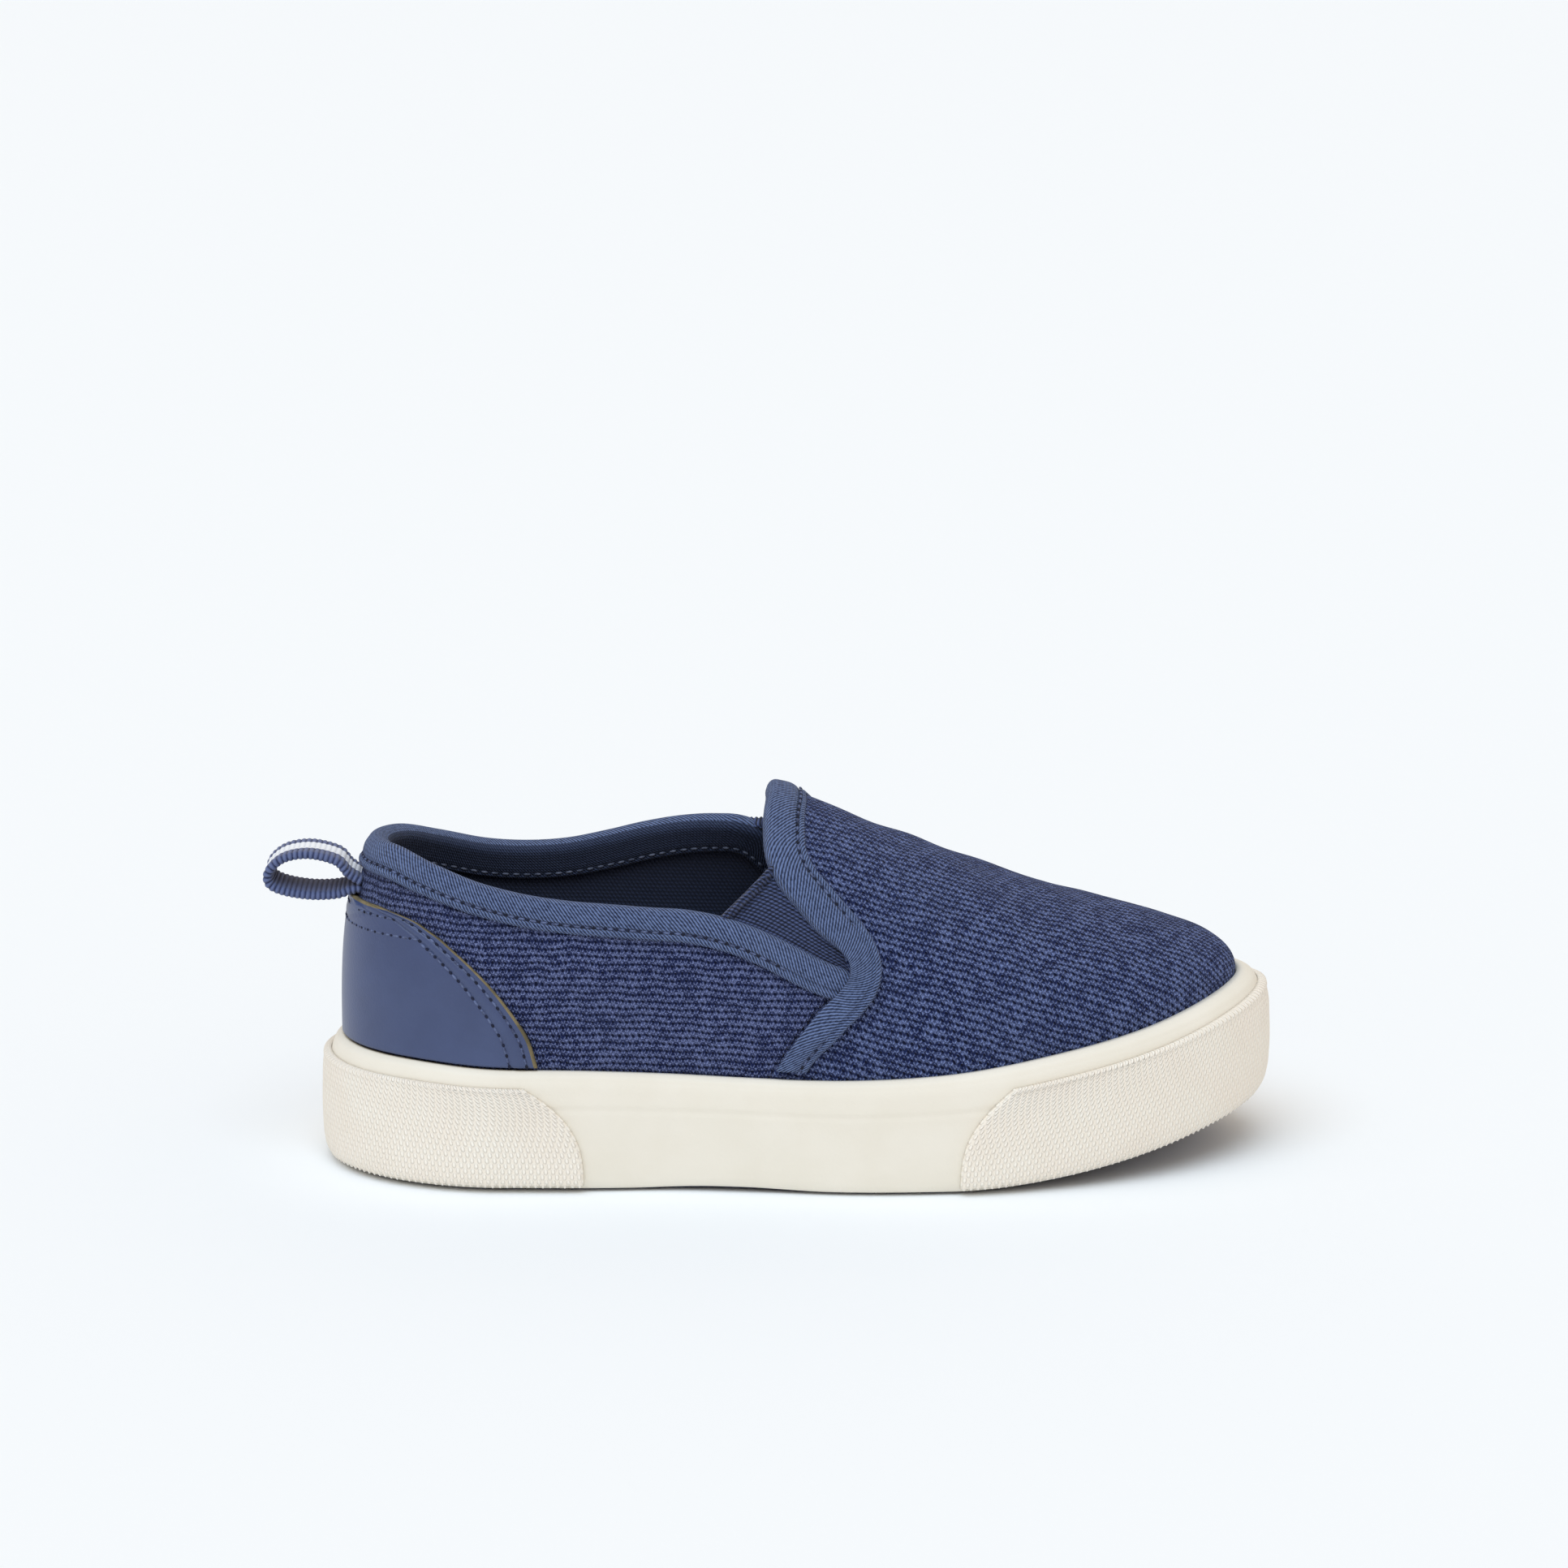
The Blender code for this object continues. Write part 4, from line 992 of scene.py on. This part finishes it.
def gorePlaces(side, rows, steps):
    part = gore["tip"] + (1 - gore["tip"]) * np.linspace(0, 1, rows + 1)
    notch = float(edgeAlong[side](notchShare))
    clear = np.full(rows + 1, tape["clear"] + tape["thick"] + gore["tuck"])
    underTape = ramp(part, gore["flatEnd"] - 0.3, gore["flatEnd"])  # the throat tape lies flat at the corner

    def onCollar(p):
        turn = turnAt(soleLength * (notch + (gore["start"][side] - notch) * p))
        return side * turn, collarLevel(side, turn)

    def onVamp(p):
        level = levelOfShare(notchTurn[side], notchShare + (gore["top"][side] - notchShare) * p)
        return side * seamTurn(side, level), level

    def movedOff(edge, heading, clear):
        run = lastPoint(*edge(part + 0.01)) - lastPoint(*edge(part - 0.01))
        away = unit(np.cross(lastNormal(*edge(part)), run)) * heading * clear[:, None]
        return lastPoint(*steppedPlace(*edge(part), away))

    low = movedOff(onCollar, side, clear)
    high = movedOff(onVamp, -side, clear * underTape - gore["cornerTuck"] * (1 - underTape))
    share = np.linspace(0, 1, steps + 1)[None, :, None]
    place = low[:, None] + (high - low)[:, None] * share
    at = side * turnAt(place[..., 0])
    return at, levelAt(at, place[..., 2])


def makeGores():
    for name, side, node in (("goreLateral", -1, "gore_lateral"), ("goreMedial", 1, "gore_medial")):
        turn, level = gorePlaces(side, gore["rows"], gore["steps"])
        base, normal = lastPoint(turn, level), lastNormal(turn, level)
        rowRun, stepRun = runAlong(base), runAlong(base, 1)
        toTop = (rowRun[-1:] - rowRun) / mm
        thickness = gore["roll"] / mm * np.sqrt(np.clip(1 - ((toTop - 0.85) / 0.85) ** 2, 0, 1))
        cord = 1 + gore["cordRelief"] * np.sin(2 * pi * (stepRun / mm + toTop * 0.7) / gore["cord"])
        fold = gore["fold"] * bell(toTop, 1.95, 0.28)
        rounded = gore["edgeRound"] * np.exp(-toTop / 0.12)
        outer = base + normal * (-gore["sink"] + (thickness * cord + fold + rounded) * mm)[..., None]
        inner = base - normal * (gore["sink"] + gore["thick"] + thickness * 0.4 * mm)[..., None]
        plan = np.stack([stepRun, rowRun], -1) / mm  # the ribs run down from the rolled edge
        finishPiece(shellPiece(name, outer, inner, plan, [elasticCloth]), "elastic", node)


makeGores()
print("gores made")


# Heel counter, a leather patch with a cut edge
counter = {
    "clear": 0.6 * mm, "thick": 0.8 * mm, "rise": 26.0 * mm, "rows": 60, "steps": 110,
    "stitchRows": (1.7, 4.6), "dent": 0.22, "puff": 0.12, "edgeRound": 0.12, "threadSunk": 0.10 * mm,
}


def counterPlaces(share, part):
    end = turnAt(soleLength * counterAlong(share))
    turn = end * part
    foot = outline(turn)[..., 2] + 2 * gap
    return turn, levelAt(turn, foot + counter["rise"] * share)


def makeCounter():
    share = np.linspace(0, 1, counter["rows"] + 1)[None, :]
    part = np.linspace(-1, 1, 2 * counter["steps"] + 1)[:, None]
    turn, level = counterPlaces(share, part)
    base, normal = lastPoint(turn, level), lastNormal(turn, level)
    stepRun, rowRun = runAlong(base), runAlong(base, 1)
    toSide = np.minimum(stepRun, stepRun[-1:] - stepRun) / mm
    toTop = (rowRun[:, -1:] - rowRun) / mm
    toEdge = np.minimum(toSide, toTop)
    first, second = counter["stitchRows"]
    dent = counter["dent"] * (bell(toEdge, first, 0.35) + bell(toEdge, second, 0.35))
    puff = counter["puff"] * bell(toEdge, 3.1, 1.0)
    rounded = counter["edgeRound"] * np.exp(-toEdge / 0.25)
    out = counter["clear"] + counter["thick"] + (puff - dent - rounded) * mm
    outer = base + normal * out[..., None]
    inner = base + normal * counter["clear"] * 0.5
    plan = np.stack([stepRun, rowRun], -1) / mm
    cut = np.zeros((plan.shape[0] - 1, plan.shape[1] - 1), int)
    cut[:1], cut[-1:], cut[:, -1:] = 1, 1, 1  # the cut edge shows as a line of its own colour
    piece = shellPiece("heelCounter", outer, inner, plan, [counterLeather, rawEdge], 1, outerMaterial=cut)
    finishPiece(piece, "counter", "heel_counter")


makeCounter()
print("counter made")


# Heel loop of striped ribbon
loopShape = {
    "width": 12 * mm, "thick": 1.5 * mm, "rootClear": 1.7 * mm, "reach": 16.5 * mm, "fine": 22, "across": 24,
    "ribPitch": 0.95 * mm, "rib": 0.22 * mm, "scallop": 0.30 * mm, "selvageFrom": 0.97, "sag": 0.35 * mm,
}


def loopCentre():
    rootHeight = outline(0.0)[2] + 2 * gap + counter["rise"] + loopShape["rootClear"]
    level = levelAt(np.array(0.0), rootHeight)
    root = lastPoint(0.0, level) + lastNormal(0.0, level) * gap
    rows = np.array(loopLine)
    back, up = rows[:, 0] * loopShape["reach"], rows[:, 1] * loopShape["reach"]
    centre = np.stack([root[0] - back, 0 * back, root[2] + up], -1)
    line = []
    for i in range(len(centre) - 1):
        p0, p1, p2 = centre[max(i - 1, 0)], centre[i], centre[i + 1]
        p3 = centre[min(i + 2, len(centre) - 1)]
        for s in np.linspace(0, 1, loopShape["fine"], endpoint=False):
            line.append(0.5 * (2 * p1 + (p2 - p0) * s + (2 * p0 - 5 * p1 + 4 * p2 - p3) * s * s
                               + (3 * p1 - p0 - 3 * p2 + p3) * s ** 3))
    line.append(centre[-1])
    return np.array(line)


def makeLoop():
    line = loopCentre()
    run = runAlong(line)
    step = np.gradient(line, axis=0)
    out = unit(np.stack([-step[:, 2], 0 * run, step[:, 0]], -1))
    half = loopShape["width"] / 2
    y = np.linspace(-1, 1, loopShape["across"] + 1)
    edge = np.sqrt(np.clip(1 - np.abs(y) ** 14, 0.05, 1))
    top = np.stack([y * half, edge * loopShape["thick"] / 2], -1)
    low = top[::-1] * [1, -1]
    ring = np.concatenate([top, low])
    sag = loopShape["sag"] * np.cos(ring[:, 0] / half * pi / 2)
    swell = np.sin(pi * np.clip(run / run[-1], 0, 1))
    rope = np.abs(np.sin(run / loopShape["ribPitch"] * pi)) - 0.5
    fromStripe = np.abs((ring[:, 0] / mm - stripedLook["stripeMiddle"]) / stripedLook["stripeHalf"])
    plain = np.where(ring[:, 1] < 0, np.exp(-fromStripe ** 8), 0)  # the white stripe has no ribs
    face = np.sign(ring[:, 1]) * loopShape["rib"] * (1 - plain)
    offsets = ring[None, :, 1] + sag[None, :] * swell[:, None] + rope[:, None] * face[None, :]
    points = line[:, None] + out[:, None] * offsets[..., None]
    selvage = np.sign(ring[:, 0]) * (np.abs(ring[:, 0]) > half * loopShape["selvageFrom"])
    points[..., 1] += ring[None, :, 0] + rope[:, None] * selvage * loopShape["scallop"]
    plan = np.stack(np.broadcast_arrays(run[:, None], ring[None, :, 0]), -1) / mm

    def isOuter(around):  # the stripe shows there only
        return (around > loopShape["across"]) & (around < 2 * loopShape["across"] + 1)

    piece = tubePiece("heelLoop", points, plan, [ribbonCloth, stripedCloth], isOuter)
    finishPiece(piece, "ribbon", "heel_loop")


makeLoop()
print("loop made")


# Sole: cup wall, guards, insole and tread
sole = {
    "ring": 420, "wallRows": 46, "outsoleThick": 2.2 * mm, "outsoleInset": 1.4 * mm, "outsoleShows": 0.7 * mm,
    "insoleThick": 3.0 * mm, "waistLine": 0.14 * mm, "waistAt": 0.69,
}
guards = {
    "heelEnd": 0.274, "heelSlant": 0.060, "toeStart": 0.654, "toeSlant": 0.052, "toeColumns": 620,
    "heelColumns": 420, "rows": 44, "bead": 0.30 * mm, "teeth": 0.75 * mm, "toothPitch": 1.25 * mm,
    "edgeRound": -0.45 * mm, "footSink": 0.3 * mm, "footRise": 0.03,
}


def planNormal(turn):
    run = outline(turn + 0.004) - outline(turn - 0.004)
    return unit(np.stack([-run[..., 1], run[..., 0], 0 * run[..., 0]], -1))


def wallReach(turn):
    back = ((1 + np.cos(turn)) / 2) ** 4
    toe = ((1 - np.cos(turn)) / 2) ** 5
    side = last["sideWall"]
    return side + (last["backWall"] - side) * back + (last["toeWall"] - side) * toe


def planPoint(turn, out):
    return outline(turn) + planNormal(turn) * np.asarray(out)[..., None]


def wallPoint(turn, rise, out):
    turn, rise, out = np.broadcast_arrays(turn, rise, out)
    place = planPoint(turn, gap + (wallReach(turn) - gap) * wallThick(rise) + out)
    foot = ground(place[..., 0]) + sole["outsoleShows"]
    place[..., 2] = foot + (outline(turn)[..., 2] - foot) * rise
    return place


def ringsPiece(name, rings, materials):
    rings = np.stack(rings)
    n, k = rings.shape[:2]
    ids = np.arange(n * k).reshape(n, k)
    faces = gridFaces(ids, closeSecond=True)
    for ring in (ids[0], ids[-1]):
        for i in range(k // 2):
            corners = []
            for index in (i, i + 1, (-i - 1) % k, (-i) % k):
                corner = int(ring[index % k])
                if corner not in corners:
                    corners.append(corner)
            faces.append(corners)
    return makePiece(name, rings.reshape(-1, 3), faces, materials)


def ringTurns():
    return np.arange(sole["ring"]) * 2 * pi / sole["ring"]


def atHeight(place, height):
    place = place.copy()
    place[..., 2] = height
    return place


def makeMidsole():
    turns = ringTurns()
    foot = wallPoint(turns, 0.0, 0.0)
    under = foot - planNormal(turns) * (sole["outsoleInset"] - gap)
    low = ground(under[:, 0])
    rings = [atHeight(under, low + sole["outsoleThick"] + gap), atHeight(under, low + sole["outsoleShows"])]
    rises = np.concatenate([np.linspace(0, 0.9, sole["wallRows"]), np.linspace(0.9, 1.0, 12)[1:]])
    for rise in rises:
        line = -sole["waistLine"] * bell(rise, sole["waistAt"], 0.022)
        rings.append(wallPoint(turns, rise, line))
    inner = planPoint(turns, np.full(turns.shape, gap))
    rings.append(inner)
    rings.append(atHeight(inner, ground(inner[:, 0]) + last["floorThick"]))
    finishPiece(ringsPiece("cupSole", rings, [creamRubber]), "cream_rubber", "midsole")


def makeGuard(name, node, middleTurn, endAt, topRise, columns, bead):
    share = np.linspace(0, 1, guards["rows"] + 1)[None, :]
    part = np.linspace(-1, 1, columns + 1)[:, None]
    turn = middleTurn + endAt(share) * part
    rise = guards["footRise"] + (topRise(turn) - guards["footRise"]) * share
    face = wallPoint(turn, rise, 0.0)
    lengthwise, upward = runAlong(face), runAlong(face, 1)
    foot = lengthwise.mean(1, keepdims=True) + 0 * lengthwise
    toTop = (upward[:, -1:] - upward) / mm
    toSide = np.minimum(lengthwise, lengthwise[-1:] - lengthwise) / mm
    lip = bead * bell(toTop, 0.7, 0.45)
    rounded = guards["edgeRound"] * (bell(toTop, 0, 0.18) + bell(toSide, 0, 0.25))
    tooth = np.abs((foot / guards["toothPitch"]) % 1 - 0.5) * 2
    low = bell(upward / mm, 0, 0.7)
    out = last["bumperClear"] + last["bumperThick"] + lip + rounded - guards["footSink"] * low
    outer = wallPoint(turn, rise, out)
    outer[..., 2] += guards["teeth"] * (tooth - 0.5) * low
    inner = wallPoint(turn, rise, last["bumperClear"] * 0.25)
    plan = np.stack([foot, upward], -1) / mm
    finishPiece(shellPiece(name, outer, inner, plan, [knurledRubber]), "guard_rubber", node)


def makeGuards():
    def heelEnd(share):
        return turnAt(soleLength * (guards["heelEnd"] - guards["heelSlant"] * share ** 3))

    def toeEnd(share):
        return pi - turnAt(soleLength * (guards["toeStart"] + guards["toeSlant"] * share ** 3))

    def heelTop(turn):
        return 0.87 + 0 * turn

    def toeTop(turn):
        return 0.83 + 0.08 * ((1 - np.cos(turn)) / 2) ** 8

    makeGuard("heelGuard", "heel_bumper", 0.0, heelEnd, heelTop, guards["heelColumns"], guards["bead"] * 0.6)
    makeGuard("toeGuard", "toe_bumper", pi, toeEnd, toeTop, guards["toeColumns"], guards["bead"])


def makeInsole():
    turns = ringTurns()
    edge = planPoint(turns, np.full(turns.shape, -(last["upperWall"] + gap)))
    centre = np.stack([edge[:, 0], centreLine(edge[:, 0]), edge[:, 2]], -1)
    floor = ground(edge[:, 0]) + last["floorThick"] + gap
    rings = [atHeight(edge, floor)]
    for share in (1.0, 0.99, 0.96, 0.9, 0.8, 0.65, 0.5, 0.3, 0.1):
        place = centre + (edge - centre) * share
        lift = sole["insoleThick"] - 0.5 * mm * (share > 0.995) + 0.5 * mm * share ** 6
        rings.append(atHeight(place, floor + lift))
    piece = ringsPiece("footbed", rings, [liningCloth])
    finishPiece(piece, "lining", "insole")


makeMidsole()
makeGuards()
makeInsole()
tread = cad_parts["outsole"]
tread.data.materials.clear()
tread.data.materials.append(treadRubber)
print("sole made")


# Stitches, set along paths by Geometry Nodes
stitches = {"pitch": 2.0 * mm, "length": 1.4 * mm, "width": 0.5 * mm, "height": 0.46 * mm, "shift": 0.0}
# sizes of the dark dots at the needle holes, which are painted shade
holeShadeDots = {"length": 0.8 * mm, "width": 0.6 * mm, "height": 0.34 * mm, "shift": 1.0 * mm}


def stitchTree():
    tree = bpy.data.node_groups.new("stitchRow", "GeometryNodeTree")
    face = tree.interface
    face.new_socket("Geometry", in_out="INPUT", socket_type="NodeSocketGeometry")
    for label, value in (("Pitch", stitches["pitch"]), ("Length", stitches["length"]),
                         ("Width", stitches["width"]), ("Height", stitches["height"]), ("Shift", 0.0)):
        face.new_socket(label, in_out="INPUT", socket_type="NodeSocketFloat").default_value = value
    face.new_socket("Thread", in_out="INPUT", socket_type="NodeSocketMaterial")
    face.new_socket("Geometry", in_out="OUTPUT", socket_type="NodeSocketGeometry")
    node = tree.nodes.new
    link = tree.links.new
    given = node("NodeGroupInput").outputs
    result = node("NodeGroupOutput")
    toCurve = node("GeometryNodeMeshToCurve")
    spaced = node("GeometryNodeResampleCurve")
    spaced.mode = "LENGTH"
    link(given["Geometry"], toCurve.inputs["Mesh"])
    link(toCurve.outputs["Curve"], spaced.inputs["Curve"])
    link(given["Pitch"], spaced.inputs["Length"])
    ball = node("GeometryNodeMeshUVSphere")
    ball.inputs["Segments"].default_value = 8
    ball.inputs["Rings"].default_value = 5
    ball.inputs["Radius"].default_value = 0.5
    size = node("ShaderNodeCombineXYZ")
    for label, socket in zip(("Length", "Width", "Height"), size.inputs):
        link(given[label], socket)
    shaped = node("GeometryNodeTransform")
    link(ball.outputs["Mesh"], shaped.inputs["Geometry"])
    link(size.outputs[0], shaped.inputs["Scale"])
    move = node("ShaderNodeCombineXYZ")
    link(given["Shift"], move.inputs[0])
    link(move.outputs[0], shaped.inputs["Translation"])
    tangent = node("GeometryNodeInputTangent")
    alongIt = node("FunctionNodeAlignRotationToVector")
    alongIt.axis = "X"
    link(tangent.outputs[0], alongIt.inputs["Vector"])
    outward = node("GeometryNodeInputNamedAttribute")
    outward.data_type = "FLOAT_VECTOR"
    outward.inputs["Name"].default_value = "outward"
    faceOut = node("FunctionNodeAlignRotationToVector")
    faceOut.axis = "Z"
    faceOut.pivot_axis = "X"
    link(alongIt.outputs[0], faceOut.inputs["Rotation"])
    link(outward.outputs["Attribute"], faceOut.inputs["Vector"])
    spread = node("GeometryNodeInstanceOnPoints")
    link(spaced.outputs["Curve"], spread.inputs["Points"])
    link(shaped.outputs[0], spread.inputs["Instance"])
    link(faceOut.outputs[0], spread.inputs["Rotation"])
    real = node("GeometryNodeRealizeInstances")
    link(spread.outputs[0], real.inputs[0])
    paint = node("GeometryNodeSetMaterial")
    link(real.outputs[0], paint.inputs["Geometry"])
    link(given["Thread"], paint.inputs["Material"])
    link(paint.outputs[0], result.inputs[0])
    return tree


stitchRow = stitchTree()


def inputNamed(tree, label):
    items = tree.interface.items_tree
    return next(item.identifier for item in items if item.name == label and item.in_out == "INPUT")


def sewRows(name, rows, slot, material, **sizes):
    points, outward, edges = [], [], []
    for line, normal in rows:
        start = len(points)
        points += (line - np.array([last["heelRest"], 0, 0])).tolist()
        outward += normal.tolist()
        edges += [(start + i, start + i + 1) for i in range(len(line) - 1)]
    mesh = bpy.data.meshes.new(name + "Path")
    mesh.from_pydata(points, edges, [])
    layer = mesh.attributes.new("outward", "FLOAT_VECTOR", "POINT")
    layer.data.foreach_set("vector", np.asarray(outward, np.float32).ravel())
    path = putInScene(name + "Path", mesh)
    sew = path.modifiers.new("sew", "NODES")
    sew.node_group = stitchRow
    for label, value in {**stitches, **sizes}.items():
        sew[inputNamed(stitchRow, label[0].upper() + label[1:])] = value
    sew[inputNamed(stitchRow, "Thread")] = material
    depsgraph = bpy.context.evaluated_depsgraph_get()
    made = bpy.data.meshes.new_from_object(path.evaluated_get(depsgraph))
    bpy.data.objects.remove(path)
    made.name = name
    made.shade_smooth()
    if not made.materials:
        made.materials.append(material)
    finishPiece(putInScene(name, made), slot)


def rowAlong(turns, levels, drop, out, inwardSign, forward=None):
    size = (len(turns), 1)
    points, normal = offEdge(turns, levels, np.full(size, drop), np.full(size, out), inwardSign, forward)
    return points[:, 0], normal[:, 0]


def makeStitches():
    top = gap + tape["thick"] - tape["threadSunk"]
    turns, levels = collarPath()
    keep = slice(14, -14)  # none where the tape dives under the throat tape
    rows = [rowAlong(turns[keep], levels[keep], tape["collarWidth"] - tape["stitchIn"], top, 1)]
    deep = -(last["upperWall"] + gap + tape["thick"]) + tape["innerThreadOut"]
    inner = rowAlong(turns[keep], levels[keep], tape["collarInside"] - tape["innerRowIn"], deep, 1)
    sewRows("liningStitches", [(inner[0], -inner[1])], "tape", shadedThread)
    turns, levels, hook, forward = throatPath()
    rows.append(rowAlong(turns, levels, tape["throatWidth"] - tape["stitchIn"], top, -1, forward))
    sewRows("tapeStitches", rows, "tape", navyThread)
    # dark dots at the needle holes: painted shade
    sewRows("tapeNeedleHoleShades", rows, "tape", needleHoleShade, **holeShadeDots)
    rows = []
    for inset in (row * mm for row in counter["stitchRows"]):
        share = 1 - inset / (counter["rise"] * 1.02)
        rise = np.linspace(0.045, share, 60)
        half = turnAt(soleLength * counterAlong(rise))
        turnIn = turnAt(np.maximum(soleLength * counterAlong(rise) - inset * 1.08, lastBack + 0.3 * mm))
        up = np.stack([turnIn, counterPlaces(rise, turnIn / half)[1]], 1)
        over = np.stack([np.linspace(turnIn[-1], -turnIn[-1], 40)[1:-1], np.full(38, share)], 1)
        over[:, 1] = levelAt(over[:, 0], outline(over[:, 0])[:, 2] + 2 * gap + counter["rise"] * share)
        down = up[::-1] * [-1, 1]
        path = np.concatenate([up, over, down])
        normal = lastNormal(path[:, 0], path[:, 1])
        out = counter["clear"] + counter["thick"] - counter["threadSunk"]
        rows.append((lastPoint(path[:, 0], path[:, 1]) + normal * out, normal))
    sewRows("counterStitches", rows, "counter", navyThread)
    # dark dots at the needle holes: painted shade
    sewRows("counterNeedleHoleShades", rows, "counter", needleHoleShade, **holeShadeDots)


makeStitches()
print("stitches made")


# Stage: floor, light and camera
stageLook = {
    "cameraPlace": (0.0272, -0.73266, 0.22524), "cameraTurn": (78.0, 0.0, -2.5), "lens": 93.17,
    "sky": (255, 243, 230), "skyStrength": 0.68, "sunTurn": (26.0, -12.0, 0.0), "sunStrength": 1.62,
    "sunColour": (211, 234, 255), "sunSpread": 55.0, "floor": (250, 253, 255), "floorHalf": 30.0,
    "sensor": 36, "nearest": 0.01,
}


def makeStage():
    mesh = bpy.data.meshes.new("floor")
    h = stageLook["floorHalf"]
    mesh.from_pydata([(-h, -h, 0), (h, -h, 0), (h, h, 0), (-h, h, 0)], [], [(0, 1, 2, 3)])
    floor = putInScene("floor", mesh)
    material, tree, shader = startMaterial("paleFloor", 0.9, specular=0.1)
    shader.inputs["Base Color"].default_value = colourOf(*stageLook["floor"])
    mesh.materials.append(material)
    world = bpy.data.worlds.new("softSky")
    bpy.context.scene.world = world
    world.use_nodes = True
    sky = world.node_tree.nodes["Background"]
    sky.inputs["Color"].default_value = colourOf(*stageLook["sky"])
    sky.inputs["Strength"].default_value = stageLook["skyStrength"]
    light = bpy.data.lights.new("softSun", "SUN")
    light.energy = stageLook["sunStrength"]
    light.color = colourOf(*stageLook["sunColour"])[:3]
    light.angle = math.radians(stageLook["sunSpread"])
    putInScene("softSun", light).rotation_euler = [math.radians(a) for a in stageLook["sunTurn"]]
    lens = bpy.data.cameras.new("photoCamera")
    lens.lens = stageLook["lens"]
    lens.sensor_width = stageLook["sensor"]
    lens.clip_start = stageLook["nearest"]
    camera = putInScene("photoCamera", lens)
    camera.location = stageLook["cameraPlace"]
    camera.rotation_euler = [math.radians(a) for a in stageLook["cameraTurn"]]
    bpy.context.scene.camera = camera
    bpy.context.scene.view_settings.view_transform = "Standard"


makeStage()
print("stage made")
